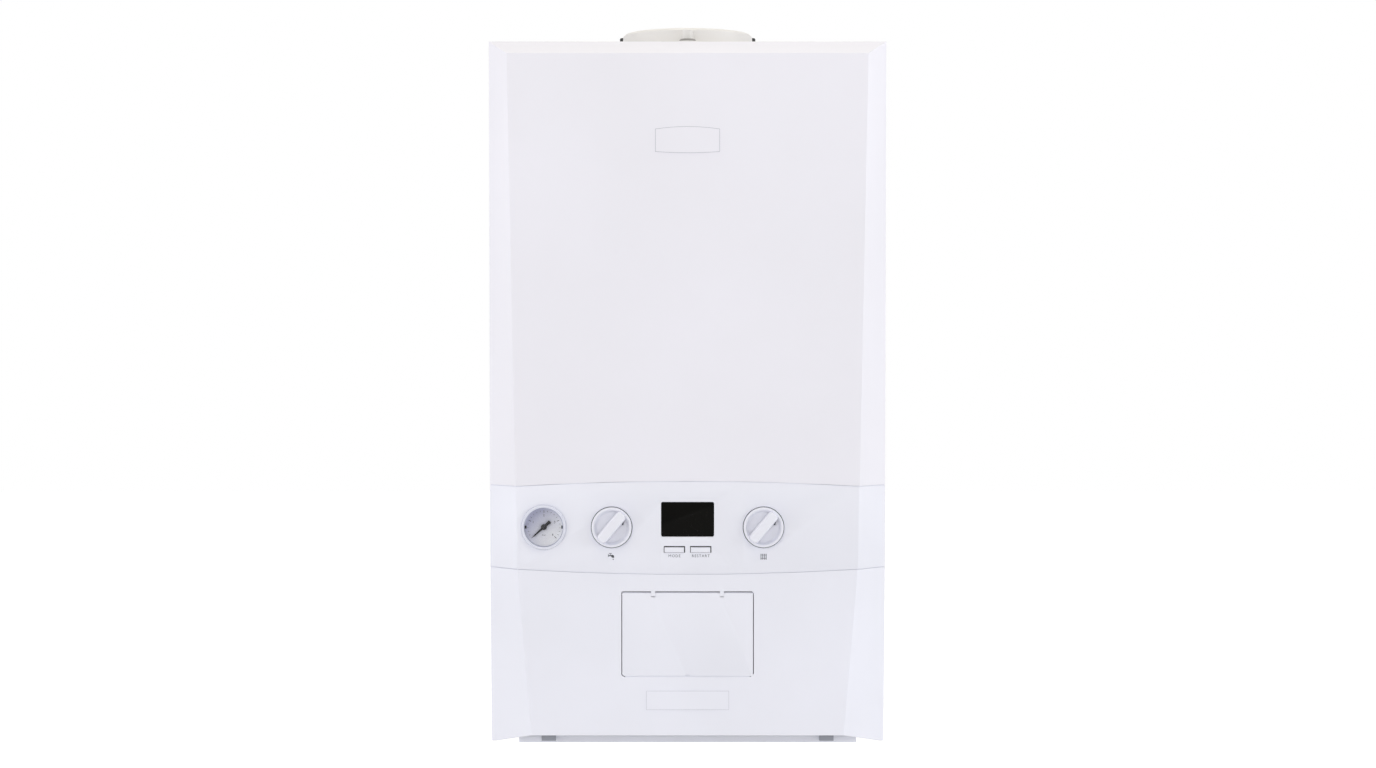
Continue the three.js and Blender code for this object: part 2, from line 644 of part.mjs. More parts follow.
const FINISHES = {
  whiteSteel: { color: 0xebeaef, roughness: 0.35, metalness: 0 },
  whitePlastic: { color: 0xe8e8ef, roughness: 0.4, metalness: 0 },
  greyPlastic: { color: 0xc2c5ce, roughness: 0.55, metalness: 0 },
  blackPlastic: { color: 0x17181a, roughness: 0.5, metalness: 0 },
  blackGlass: { color: 0x0a0907, roughness: 0.08, metalness: 0 },
  clearPlastic: { color: 0xf4f7fa, roughness: 0.05, metalness: 0, transparent: true, opacity: 0.25 },
  dialPaper: { color: 0xe4e9f2, roughness: 0.7, metalness: 0 },
  turretPlastic: { color: 0xe0ddd8, roughness: 0.5, metalness: 0 },
  galvanised: { color: 0xb4b8bb, roughness: 0.45, metalness: 0.9 },
  castAluminium: { color: 0xa9abad, roughness: 0.6, metalness: 0.9 },
  steel: { color: 0xb9bcc0, roughness: 0.3, metalness: 1 },
  copper: { color: 0xb87350, roughness: 0.35, metalness: 1 },
  brass: { color: 0xb5a067, roughness: 0.4, metalness: 1 },
  redSteel: { color: 0x9c2f26, roughness: 0.45, metalness: 0 },
  redPlastic: { color: 0xb3231d, roughness: 0.4, metalness: 0 },
  circuitBoard: { color: 0x2a6b3c, roughness: 0.5, metalness: 0 },
  ceramic: { color: 0xe9e3d6, roughness: 0.5, metalness: 0 },
  rubber: { color: 0x2b2b2d, roughness: 0.9, metalness: 0 },
};

function piece(name, geometry, finish, position = [0, 0, 0]) {
  const shape = geometry.index ? geometry.toNonIndexed() : geometry;
  shape.computeVertexNormals();
  const mesh = new THREE.Mesh(shape, new THREE.MeshStandardMaterial(FINISHES[finish]));
  mesh.name = name;
  mesh.position.set(...position);
  return mesh;
}

function group(...pieces) {
  const result = new THREE.Group();
  result.add(...pieces.flat());
  return result;
}

// ---------------------------------------------------------------- front covers

// The outward direction of a facet whose crease runs from low to high, on one side.
function facetNormal(lowX, lowZ, highX, highZ, side) {
  const outwards = new THREE.Vector3(1, FACET_SLOPE, 0);
  const crease = new THREE.Vector3(highX - lowX, 0, highZ - lowZ);
  const normal = outwards.cross(crease).normalize();
  normal.x *= side;
  return normal;
}

// The whole front as one block, with its facets and its top bevel, set in by a wall.
function frontForm(wall) {
  const bevelTop = HEIGHT - TOP_BEVEL_RISE;
  const cuts = [];
  const remove = (x, y, z, normal) => {
    const point = new THREE.Vector3(x, y, z).addScaledVector(normal, -wall);
    cuts.push(beyond(point, normal));
  };
  for (const side of [-1, 1]) {
    const upper = facetNormal(MIDDLE_CREASE_X, MIDDLE_CREASE_Z, TOP_CREASE_X, bevelTop, side);
    const lower = facetNormal(BOTTOM_CREASE_X, BOTTOM_RISE, MIDDLE_CREASE_X, MIDDLE_CREASE_Z, side);
    remove(side * MIDDLE_CREASE_X, FRONT, MIDDLE_CREASE_Z, upper);
    remove(side * MIDDLE_CREASE_X, FRONT, MIDDLE_CREASE_Z, lower);
  }
  const bevelNormal = new THREE.Vector3(0, -TOP_BEVEL_RISE, TOP_BEVEL_DEPTH).normalize();
  remove(0, FRONT, bevelTop, bevelNormal);
  const extra = wall > 0 ? 1 : 0;
  const whole = block(
    wall - HALF, HALF - wall, FRONT + wall, SIDE_SEAM + extra, -extra, HEIGHT - wall,
  );
  return cut(whole, ...cuts);
}

// The line of a seam from side to side, level over the facets and arched between them.
function seamLine(middle, side, shift) {
  const steps = 12;
  const line = [[-HALF - 1, side + shift]];
  for (let i = 0; i <= steps; i += 1) {
    const x = SEAM_ARC_HALF * ((2 * i) / steps - 1);
    const share = 1 - (x / SEAM_ARC_HALF) ** 2;
    line.push([x, side + (middle - side) * share + shift]);
  }
  line.push([HALF + 1, side + shift]);
  return line;
}

// Everything on one side of a seam's line, as a block that runs past the covers.
function sideOfSeam(line, end) {
  return plate([...line, [HALF + 1, end], [-HALF - 1, end]], SIDE_SEAM + 2, COVER_DEPTH + 4);
}

const belowSeam = (line) => sideOfSeam(line, -2);
const aboveSeam = (line) => sideOfSeam(line, HEIGHT + 2);

const upperSeam = (shift) => seamLine(UPPER_SEAM_MIDDLE, UPPER_SEAM_SIDE, shift);
const lowerSeam = (shift) => seamLine(LOWER_SEAM_MIDDLE, LOWER_SEAM_SIDE, shift);

function frontPanel() {
  const shell = cut(frontForm(0), frontForm(SHEET));
  const sheet = cut(shell, belowSeam(upperSeam(SEAM / 2)));
  const plateTop = TOP_PLATE_Z + TOP_PLATE_HEIGHT / 2;
  const plateBottom = TOP_PLATE_Z - TOP_PLATE_HEIGHT / 2;
  const badge = plate(
    badgeOutline(TOP_PLATE_WIDTH, plateBottom, plateTop, TOP_PLATE_BULGE),
    FRONT - PLATE_GAP,
    PLATE_THICKNESS,
  );
  return group(
    piece('front_panel', sheet, 'whiteSteel'),
    piece('front_badge_plate', badge, 'whitePlastic'),
  );
}

// A plate outline whose top and bottom edges bulge a little.
function badgeOutline(width, low, high, bulge) {
  const steps = 6;
  const points = [];
  for (let i = 0; i <= steps; i += 1) {
    const share = (2 * i) / steps - 1;
    points.push([(share * width) / 2, low - (bulge * (1 - share ** 2)) / 2]);
  }
  for (let i = steps; i >= 0; i -= 1) {
    const share = (2 * i) / steps - 1;
    points.push([(share * width) / 2, high + bulge * (1 - share ** 2)]);
  }
  return points;
}

// ---------------------------------------------------------------- control fascia

const THROUGH_BACK = FRONT + MOULDING + 2;
const THROUGH_DEPTH = MOULDING + 4;

function roundHole(x, z, radius, sides = 32) {
  return rod(radius, [x, THROUGH_BACK, z], [x, THROUGH_BACK - THROUGH_DEPTH, z], sides);
}

function squareHole(x, z, width, height) {
  return block(
    x - width / 2, x + width / 2,
    THROUGH_BACK - THROUGH_DEPTH, THROUGH_BACK,
    z - height / 2, z + height / 2,
  );
}

function controlFascia() {
  const shell = cut(frontForm(0), frontForm(MOULDING));
  const band = cut(shell, aboveSeam(upperSeam(-SEAM / 2)), belowSeam(lowerSeam(SEAM / 2)));
  const holes = [
    roundHole(GAUGE_X, CONTROL_Z, GAUGE_RADIUS - GAUGE_OVERLAP),
    roundHole(-KNOB_X, CONTROL_Z, KNOB_RADIUS + KNOB_RING_GAP),
    roundHole(KNOB_X, CONTROL_Z, KNOB_RADIUS + KNOB_RING_GAP),
    squareHole(0, DISPLAY_Z, DISPLAY_WIDTH + 2 * FIT, DISPLAY_HEIGHT + 2 * FIT),
    squareHole(-BUTTON_X, BUTTON_Z, BUTTON_WIDTH + 2 * FIT, BUTTON_HEIGHT + 2 * FIT),
    squareHole(BUTTON_X, BUTTON_Z, BUTTON_WIDTH + 2 * FIT, BUTTON_HEIGHT + 2 * FIT),
  ];
  return piece('control_fascia', cut(band, holes), 'whitePlastic');
}

// A knob, built about its own axis with y = 0 at the fascia's front face.
function knob(name, x) {
  const floor = -KNOB_FLOOR;
  const dish = KNOB_RADIUS - KNOB_RIM;
  const body = turnedForward([
    [0, floor],
    [KNOB_RADIUS, floor],
    [KNOB_RADIUS, KNOB_PROUD - KNOB_CHAMFER],
    [KNOB_RADIUS - KNOB_CHAMFER, KNOB_PROUD],
    [dish, KNOB_PROUD],
    [dish - KNOB_DISH_SLOPE, KNOB_PROUD - KNOB_DISH_DEPTH],
    [0, KNOB_PROUD - KNOB_DISH_DEPTH],
  ], 32);
  const grip = block(
    -dish, dish,
    -KNOB_PROUD - GRIP_HEIGHT, KNOB_FLOOR / 2,
    -GRIP_WIDTH / 2, GRIP_WIDTH / 2,
  ).rotateY(-GRIP_ANGLE);
  const spindleEnd = BOARD_DEPTH - POT_DEPTH / 2;
  const spindle = rod(SPINDLE_RADIUS, [0, -floor - 1, 0], [0, spindleEnd, 0], 12);
  return piece(name, join(body, grip, spindle), 'whitePlastic', [x, FRONT, CONTROL_Z]);
}

// The gauge's pieces, built about its axis with y = 0 at the fascia's front face.
function gauge() {
  const at = [GAUGE_X, FRONT, CONTROL_Z];
  const body = GAUGE_RADIUS - GAUGE_OVERLAP - FIT;
  const inner = GAUGE_RADIUS - GAUGE_RIM;
  const seat = -DIAL_DEPTH - DIAL_THICKNESS - FIT;
  const cup = turnedForward([
    [0, -GAUGE_DEPTH],
    [body, -GAUGE_DEPTH],
    [body, FIT],
    [GAUGE_RADIUS, FIT],
    [GAUGE_RADIUS, GAUGE_PROUD - BEZEL_CHAMFER],
    [GAUGE_RADIUS - BEZEL_CHAMFER, GAUGE_PROUD],
    [inner + BEZEL_CHAMFER, GAUGE_PROUD],
    [inner, GAUGE_PROUD - BEZEL_CHAMFER],
    [inner, seat],
    [0, seat],
  ], 32);
  const axleHoleRadius = NEEDLE_AXLE_RADIUS + FIT;
  const axleHole = rod(axleHoleRadius, [0, NEEDLE_AXLE_LENGTH + 1 - seat, 0], [0, 0, 0], 8);
  const dial = turnedForward([
    [0, -DIAL_DEPTH - DIAL_THICKNESS],
    [inner - FIT, -DIAL_DEPTH - DIAL_THICKNESS],
    [inner - FIT, -DIAL_DEPTH],
    [0, -DIAL_DEPTH],
  ], 32);
  const pointer = [
    [-1.1, -1], [-0.25, -NEEDLE_LENGTH], [0.25, -NEEDLE_LENGTH], [1.1, -1],
    [1.4, NEEDLE_TAIL], [-1.4, NEEDLE_TAIL],
  ];
  const needleRear = DIAL_DEPTH - 2 * FIT;
  const needleFront = needleRear - NEEDLE_THICKNESS;
  const needle = join(
    plate(pointer, needleRear, NEEDLE_THICKNESS),
    rod(NEEDLE_HUB_RADIUS, [0, needleRear, 0], [0, needleFront - FIT, 0], 12),
    rod(NEEDLE_AXLE_RADIUS, [0, NEEDLE_AXLE_LENGTH - seat, 0], [0, needleFront, 0], 8),
  );
  const lens = turnedForward([
    [0, -LENS_THICKNESS],
    [inner - FIT, -LENS_THICKNESS],
    [inner - FIT, 0],
    [inner * 0.8, LENS_RISE * 0.6],
    [0, LENS_RISE],
  ], 32);
  return group(
    piece('gauge_case', cut(cup, axleHole), 'whitePlastic', at),
    piece('gauge_dial', cut(dial, axleHole), 'dialPaper', at),
    piece('gauge_needle', needle.rotateY(NEEDLE_ANGLE), 'blackPlastic', at),
    piece('gauge_lens', lens, 'clearPlastic', at),
  );
}

// A push button, with a rim behind the fascia that keeps it in.
function button(name, x) {
  const cap = block(
    -BUTTON_WIDTH / 2, BUTTON_WIDTH / 2,
    -BUTTON_PROUD, BUTTON_LENGTH,
    -BUTTON_HEIGHT / 2, BUTTON_HEIGHT / 2,
  );
  const rim = block(
    -BUTTON_WIDTH / 2 - BUTTON_RIM, BUTTON_WIDTH / 2 + BUTTON_RIM,
    MOULDING + FIT, MOULDING + FIT + BUTTON_RIM_DEPTH,
    -BUTTON_HEIGHT / 2 - BUTTON_RIM, BUTTON_HEIGHT / 2 + BUTTON_RIM,
  );
  return piece(name, join(cap, rim), 'whitePlastic', [x, FRONT, BUTTON_Z]);
}

function displayLens() {
  const window = block(
    -DISPLAY_WIDTH / 2, DISPLAY_WIDTH / 2,
    FIT, MOULDING + 1,
    -DISPLAY_HEIGHT / 2, DISPLAY_HEIGHT / 2,
  );
  const rim = block(
    -DISPLAY_WIDTH / 2 - DISPLAY_RIM, DISPLAY_WIDTH / 2 + DISPLAY_RIM,
    MOULDING + FIT, DISPLAY_BACK,
    -DISPLAY_HEIGHT / 2 - DISPLAY_RIM, DISPLAY_HEIGHT / 2 + DISPLAY_RIM,
  );
  return piece('display_lens', join(window, rim), 'blackGlass', [0, FRONT, DISPLAY_Z]);
}

// ---------------------------------------------------------------- lower panel and flap

function alongX(radius, half, sides = 12) {
  return rod(radius, [-half, FLAP_AXIS_Y, FLAP_AXIS_Z], [half, FLAP_AXIS_Y, FLAP_AXIS_Z], sides);
}

function lowerPanel() {
  const shell = cut(frontForm(0), frontForm(MOULDING));
  const rise = new THREE.Vector3(0, -BOTTOM_RISE, -FACET_DEPTH_AT_BOTTOM).normalize();
  const underside = beyond(new THREE.Vector3(0, FRONT, BOTTOM_RISE), rise);
  const skin = cut(shell, aboveSeam(lowerSeam(-SEAM / 2)), underside);
  const recessBack = FRONT + RECESS_DEPTH;
  const box = block(
    -APERTURE_HALF - RECESS_WALL, APERTURE_HALF + RECESS_WALL,
    FRONT + MOULDING / 2, recessBack + RECESS_WALL,
    APERTURE_LOW - RECESS_WALL, APERTURE_HIGH + RECESS_WALL,
  );
  const hollow = block(
    -APERTURE_HALF, APERTURE_HALF,
    FRONT - 1, recessBack,
    APERTURE_LOW, APERTURE_HIGH,
  );
  const lugs = [-LUG_X, LUG_X].map((x) => block(
    x - LUG_WIDTH / 2, x + LUG_WIDTH / 2,
    FRONT + FIT, FRONT + 2 * FLAP_THICKNESS,
    FLAP_AXIS_Z - LUG_HEIGHT, APERTURE_HIGH + 1,
  ));
  const hollowed = join(cut(join(skin, box), hollow), lugs);
  const pinHole = alongX(PIN_HOLE_RADIUS, PIN_HALF + RECESS_WALL);
  return group(
    piece('lower_panel', cut(hollowed, pinHole), 'whitePlastic'),
    piece('lower_badge_plate', block(
      -LOW_PLATE_WIDTH / 2, LOW_PLATE_WIDTH / 2,
      FRONT - PLATE_GAP - PLATE_THICKNESS, FRONT - PLATE_GAP,
      LOW_PLATE_Z - LOW_PLATE_HEIGHT / 2, LOW_PLATE_Z + LOW_PLATE_HEIGHT / 2,
    ), 'whitePlastic'),
    piece('flap_hinge_pin', alongX(FLAP_PIN_RADIUS, PIN_HALF, 8), 'steel'),
  );
}

function flap() {
  const half = FLAP_WIDTH / 2;
  const sheet = block(-half, half, FRONT, FLAP_AXIS_Y, FLAP_BOTTOM, FLAP_AXIS_Z);
  const barrel = alongX(FLAP_THICKNESS, half, 16);
  const lugSlots = [-LUG_X, LUG_X].map((x) => block(
    x - LUG_WIDTH / 2 - 2 * FIT, x + LUG_WIDTH / 2 + 2 * FIT,
    FRONT - 1, FLAP_AXIS_Y + FLAP_THICKNESS + 1,
    FLAP_AXIS_Z - LUG_HEIGHT - 4 * FIT, FLAP_TOP + 1,
  ));
  const notch = rod(NOTCH_RADIUS, [0, FRONT - 1, FLAP_BOTTOM], [0, FLAP_AXIS_Y + 1, FLAP_BOTTOM], 12);
  const bore = alongX(PIN_HOLE_RADIUS, half + 1);
  return piece('programmer_flap', cut(join(sheet, barrel), lugSlots, notch, bore), 'whitePlastic');
}

// ---------------------------------------------------------------- control pod

function podHousing() {
  const front = POD_FRONT;
  const outer = block(-POD_HALF, POD_HALF, front, POD_BACK, POD_FLOOR, POD_TOP);
  const inside = POD_HALF - POD_WALL;
  const cavity = block(
    -inside, inside,
    front + POD_WALL, POD_BACK - POD_WALL,
    POD_FLOOR + POD_WALL, POD_TOP - POD_WALL,
  );
  const mouth = block(
    -inside, inside,
    front - 1, front + POD_WALL + 1,
    POD_LIP, POD_TOP - POD_WALL,
  );
  const posts = [];
  for (const x of [-POST_X, POST_X]) {
    for (const z of [POST_LOW, POST_MIDDLE, POST_HIGH]) {
      posts.push(rod(POST_RADIUS, [x, POD_BACK - 1, z], [x, FRONT + MOULDING + FIT, z], 8));
    }
  }
  for (const x of [BOARD_POST_INSET - BOARD_HALF, BOARD_HALF - BOARD_POST_INSET]) {
    const boardRear = BOARD_FRONT + BOARD_THICKNESS + FIT;
    const z = POST_HIGH - BOARD_POST_DROP;
    posts.push(rod(POST_RADIUS, [x, POD_BACK - 1, z], [x, boardRear, z], 8));
  }
  const ears = [];
  const bores = [];
  for (const side of [-1, 1]) {
    const low = Math.min(side * EAR_X, side * POD_HALF);
    const high = low + EAR_WIDTH;
    ears.push(block(low, high, POD_BACK - 1, HINGE_Y, POD_FLOOR, HINGE_Z + EAR_RADIUS));
    ears.push(rod(EAR_RADIUS, [low, HINGE_Y, HINGE_Z], [high, HINGE_Y, HINGE_Z], 16));
    const x = side * LATCH_X;
    ears.push(block(
      x - LATCH_GUIDE_HALF, x + LATCH_GUIDE_HALF,
      front - LATCH_DEPTH - FIT, front + 1,
      GUIDE_LOW, GUIDE_HIGH,
    ));
    bores.push(rod(LATCH_STEM_RADIUS + FIT, [x, LATCH_Y, 0], [x, LATCH_Y, GUIDE_HIGH + 1], 10));
  }
  bores.push(hingeBore());
  const tub = cut(outer, cavity, mouth);
  return piece('pod_housing', cut(join(tub, wiringBox(), posts, ears), bores), 'greyPlastic');
}

// The hole that the hinge rod lies in, from side to side.
function hingeBore() {
  return rod(HINGE_ROD_RADIUS + FIT, [-HALF, HINGE_Y, HINGE_Z], [HALF, HINGE_Y, HINGE_Z], 12);
}

// The box moulded on the housing's rear, over the wiring terminals.
function wiringBox() {
  const rear = POD_BACK + WIRING_BOX_DEPTH;
  const box = block(
    WIRING_BOX_LEFT, WIRING_BOX_RIGHT,
    POD_BACK - 1, rear,
    WIRING_BOX_LOW, WIRING_BOX_HIGH,
  );
  const upper = new THREE.Vector3(0, rear, WIRING_BOX_HIGH - WIRING_BOX_CHAMFER);
  const lower = new THREE.Vector3(0, rear, WIRING_BOX_LOW + WIRING_BOX_CHAMFER);
  return cut(
    box,
    beyond(upper, new THREE.Vector3(0, 1, 1).normalize()),
    beyond(lower, new THREE.Vector3(0, 1, -1).normalize()),
  );
}

function controlBoard() {
  const board = block(
    -BOARD_HALF, BOARD_HALF, BOARD_FRONT, BOARD_FRONT + BOARD_THICKNESS, BOARD_LOW, BOARD_HIGH,
  );
  const seat = BOARD_FRONT + BOARD_THICKNESS / 2;
  const potFace = BOARD_FRONT - POT_DEPTH;
  const parts = [];
  const sockets = [];
  for (const x of [-KNOB_X, KNOB_X]) {
    parts.push(rod(POT_RADIUS, [x, seat, CONTROL_Z], [x, potFace, CONTROL_Z], 16));
    const socketEnd = [x, BOARD_FRONT - POT_DEPTH / 4, CONTROL_Z];
    sockets.push(rod(SPINDLE_RADIUS + FIT, socketEnd, [x, potFace - 1, CONTROL_Z], 12));
  }
  // A part standing on the board, from its face towards the fascia
  const stand = (x, z, halfWidth, halfHeight, face) => (
    block(x - halfWidth, x + halfWidth, face, seat, z - halfHeight, z + halfHeight)
  );
  const switchFace = FRONT + BUTTON_LENGTH + BUTTON_TRAVEL + FIT;
  const screenFace = FRONT + DISPLAY_BACK + FIT;
  const lowRow = BOARD_LOW + BOARD_PART_RISE;
  parts.push(stand(-BUTTON_X, BUTTON_Z, SWITCH_HALF, BUTTON_HEIGHT / 2, switchFace));
  parts.push(stand(BUTTON_X, BUTTON_Z, SWITCH_HALF, BUTTON_HEIGHT / 2, switchFace));
  parts.push(stand(0, DISPLAY_Z, DISPLAY_WIDTH / 2 - 2, DISPLAY_HEIGHT / 2 - 2, screenFace));
  parts.push(stand(-BOARD_PART_X, lowRow, 9, 7, BOARD_FRONT - 14)); // transformer
  parts.push(stand(BOARD_PART_X, lowRow, 10, 6, BOARD_FRONT - 10)); // relay
  return piece('control_board', cut(join(board, parts), sockets), 'circuitBoard');
}

// A spring latch, drawn down by its grip; its stem slides in the housing's guide.
function latch(name, x) {
  const grip = block(
    -LATCH_WIDTH / 2, LATCH_WIDTH / 2,
    -LATCH_DEPTH / 2, LATCH_DEPTH / 2,
    LATCH_LOW, LATCH_LOW + LATCH_HEIGHT,
  );
  const stem = rod(LATCH_STEM_RADIUS, [0, 0, LATCH_LOW + 1], [0, 0, STEM_TOP + 1], 10);
  const head = rod(LATCH_HEAD_RADIUS, [0, 0, STEM_TOP], [0, 0, STEM_TOP + LATCH_HEAD_HEIGHT], 10);
  return piece(name, join(grip, stem, head), 'blackPlastic', [x, LATCH_Y, 0]);
}

function controlPod() {
  return group(
    podHousing(),
    controlBoard(),
    controlFascia(),
    lowerPanel(),
    flap(),
    knob('hot_water_knob', -KNOB_X),
    knob('heating_knob', KNOB_X),
    button('mode_button', -BUTTON_X),
    button('restart_button', BUTTON_X),
    displayLens(),
    gauge(),
    latch('left_latch', -LATCH_X),
    latch('right_latch', LATCH_X),
  );
}

// ---------------------------------------------------------------- casing

function sidePanel(name, side) {
  const outline = [
    [HALF, SIDE_FRONT],
    [HALF, BACK_FACE],
    [HALF - FLANGE, BACK_FACE],
    [HALF - FLANGE, BACK_FACE - SHEET],
    [HALF - SHEET, BACK_FACE - SHEET],
    [HALF - SHEET, SIDE_FRONT + SHEET],
    [HALF - FLANGE, SIDE_FRONT + SHEET],
    [HALF - FLANGE, SIDE_FRONT],
  ].map(([x, y]) => [side * x, y]);
  return piece(name, column(outline, SEAM, SIDE_TOP - SEAM), 'whiteSteel');
}

function topPanel() {
  const sheet = block(-HALF, HALF, SIDE_FRONT, BACK_FACE, HEIGHT - SHEET, HEIGHT);
  const flangeHalf = HALF - FLANGE - FIT;
  const flange = block(
    -flangeHalf, flangeHalf,
    SIDE_FRONT, SIDE_FRONT + SHEET,
    HEIGHT - FLANGE, HEIGHT - SHEET / 2,
  );
  const [low, high] = [HEIGHT - 2 * SHEET, HEIGHT + SHEET];
  const holes = [rod(AIR_RADIUS + GASKET_INSET, [0, TURRET_Y, low], [0, TURRET_Y, high], 32)];
  for (const x of [-SCREW_X, SCREW_X]) {
    holes.push(rod(SCREW_RADIUS + FIT, [x, SCREW_Y, low], [x, SCREW_Y, high], 10));
  }
  return piece('top_panel', cut(join(sheet, flange), holes), 'whiteSteel');
}

function bottomPanel() {
  const top = FLOOR_Z + SHEET;
  const sheet = block(-INSIDE_HALF, INSIDE_HALF, FLOOR_FRONT, BACK_INNER - FIT, FLOOR_Z, top);
  const tabs = [-1, 1].map((side) => {
    const low = side * (POD_HALF + TAB_GAP + TAB_WIDTH / 2) - TAB_WIDTH / 2;
    return block(
      low, low + TAB_WIDTH,
      HINGE_Y - EAR_RADIUS, FLOOR_FRONT + FLANGE,
      HINGE_Z - EAR_RADIUS, top + TAB_RISE,
    );
  });
  const holes = TAIL_XS.map((x) => (
    rod(WIDE_PIPE + HOLE_GAP, [x, TAIL_Y, FLOOR_Z - SHEET], [x, TAIL_Y, top + SHEET], 12)
  ));
  return piece('bottom_panel', cut(join(sheet, tabs), holes, hingeBore()), 'galvanised');
}

// The back panel carries two shelf arms inside and a hook that sits over the wall bracket.
function backPanel() {
  const sheet = block(-INSIDE_HALF, INSIDE_HALF, BACK_INNER, BACK_PANEL_REAR, SEAM, SIDE_TOP);
  const arms = [-SHELF_X, SHELF_X].map((x) => block(
    x - SHELF_WIDTH / 2, x + SHELF_WIDTH / 2,
    EXCHANGER_FRONT + SHELF_INSET, BACK_INNER + SHEET / 2,
    SUMP_LOW - FIT - SHELF_THICKNESS, SUMP_LOW - FIT,
  ));
  const hookRoot = BACK_PANEL_REAR - SHEET / 2;
  const hookHalf = BRACKET_HALF - HOOK_INSET;
  const hook = beam([
    [hookRoot, HOOK_TOP],
    [hookRoot, HOOK_TOP - BRACKET_SHEET],
    [HOOK_FRONT, HOOK_TOP - BRACKET_SHEET],
    [HOOK_FRONT, HOOK_LOW],
    [HOOK_FRONT + BRACKET_SHEET, HOOK_LOW],
    [HOOK_FRONT + BRACKET_SHEET, HOOK_TOP],
  ], -hookHalf, 2 * hookHalf);
  return piece('back_panel', join(sheet, arms, hook), 'galvanised');
}

// A steel strip screwed to the wall, with a raised lip that the boiler hangs on.
function wallBracket() {
  const lipBack = HOOK_FRONT - HOOK_GAP;
  const lipFront = lipBack - BRACKET_SHEET;
  const low = BRACKET_Z - BRACKET_STRIP_HALF;
  const step = BRACKET_Z + BRACKET_STRIP_HALF;
  const profile = [
    [0, low],
    [0, step],
    [lipBack, step + 2 * BRACKET_SHEET],
    [lipBack, BRACKET_TOP],
    [lipFront, BRACKET_TOP],
    [lipFront, step + BRACKET_SHEET],
    [-BRACKET_SHEET, step - BRACKET_SHEET],
    [-BRACKET_SHEET, low],
  ];
  const strip = beam(profile, -BRACKET_HALF, 2 * BRACKET_HALF);
  const holeX = BRACKET_HALF - BRACKET_HOLE_INSET;
  const holes = [-holeX, holeX].map((x) => (
    rod(BRACKET_HOLE_RADIUS, [x, 1, BRACKET_Z], [x, -2 * BRACKET_SHEET, BRACKET_Z], 12)
  ));
  return piece('wall_bracket', cut(strip, holes), 'galvanised');
}

function hingeRod() {
  const half = POD_HALF + TAB_GAP + TAB_WIDTH + ROD_END;
  const bar = rod(HINGE_ROD_RADIUS, [-half, HINGE_Y, HINGE_Z], [half, HINGE_Y, HINGE_Z], 12);
  return piece('pod_hinge_rod', bar, 'steel');
}

// ---------------------------------------------------------------- flue turret

function flueTurret() {
  const flangeTop = TURRET_LOW + TURRET_FLANGE;
  const shell = turnedUp([
    [AIR_RADIUS, TURRET_LOW],
    [TURRET_RADIUS + TURRET_RIM, TURRET_LOW],
    [TURRET_RADIUS + TURRET_RIM, flangeTop],
    [TURRET_RADIUS, flangeTop],
    [TURRET_RADIUS - 0.4, TURRET_HIGH - 2.4],
    [TURRET_RADIUS - 2.6, TURRET_HIGH - 0.4],
    [TURRET_RADIUS - 6, TURRET_HIGH],
    [AIR_RADIUS + 1, TURRET_HIGH],
    [AIR_RADIUS, TURRET_HIGH - 1],
    [AIR_RADIUS, TURRET_LOW],
  ], 36);
  const socket = turnedUp([
    [FLUE_RADIUS, FLUE_LOW],
    [FLUE_RADIUS + FLUE_WALL, FLUE_LOW],
    [FLUE_RADIUS + FLUE_WALL, TURRET_HIGH - SOCKET_SINK],
    [FLUE_RADIUS, TURRET_HIGH - SOCKET_SINK],
    [FLUE_RADIUS, FLUE_LOW],
  ], 24);
  const webs = [90, 210, 330].map((degrees) => (
    block(FLUE_RADIUS + 1, AIR_RADIUS + 1, -1, 1, TURRET_LOW, TURRET_HIGH - WEB_SINK)
      .rotateZ((degrees * Math.PI) / 180)
  ));
  const bossTop = [0, -TURRET_RADIUS, TURRET_HIGH - BOSS_SINK];
  const boss = rod(BOSS_RADIUS, [0, -TURRET_RADIUS, BOSS_LOW], bossTop, 16);
  const capPad = rod(CAP_RADIUS + CAP_PAD, [0, CAP_Y, TURRET_LOW], [0, CAP_Y, flangeTop], 20);
  const lugs = [-SCREW_X, SCREW_X].map((x) => (
    rod(SCREW_HEAD_RADIUS + 1, [x, SCREW_BACK, TURRET_LOW], [x, SCREW_BACK, SCREW_SEAT], 16)
  ));
  const air = rod(AIR_RADIUS, [0, 0, TURRET_LOW - 1], [0, 0, TURRET_HIGH + 1], 36);
  const holes = [-SCREW_X, SCREW_X].map((x) => (
    rod(SCREW_RADIUS + FIT, [x, SCREW_BACK, TURRET_LOW - 1], [x, SCREW_BACK, SCREW_SEAT + 1], 10)
  ));
  const headRoom = [-SCREW_X, SCREW_X].map((x) => (
    rod(SCREW_HEAD_RADIUS + FIT, [x, SCREW_BACK, SCREW_SEAT], [x, SCREW_BACK, TURRET_HIGH + 1], 16)
  ));
  const outside = cut(join(shell, boss, capPad, lugs), air, holes, headRoom);
  return group(
    piece('flue_turret', join(outside, socket, webs), 'turretPlastic', [0, TURRET_Y, 0]),
    piece('sampling_cap', samplingCap(flangeTop + FIT), 'rubber', [0, TURRET_Y + CAP_Y, 0]),
  );
}

// A low round rubber cap at the foot of the turret's boss.
function samplingCap(low) {
  const top = low + CAP_HEIGHT;
  const cap = turnedUp([
    [0, low], [CAP_RADIUS, low], [CAP_RADIUS, top - 0.8], [CAP_RADIUS - 1, top], [0, top],
  ], 20);
  const turretWall = rod(TURRET_RADIUS + FIT, [0, -CAP_Y, low - 1], [0, -CAP_Y, top + 1], 36);
  return cut(cap, turretWall);
}

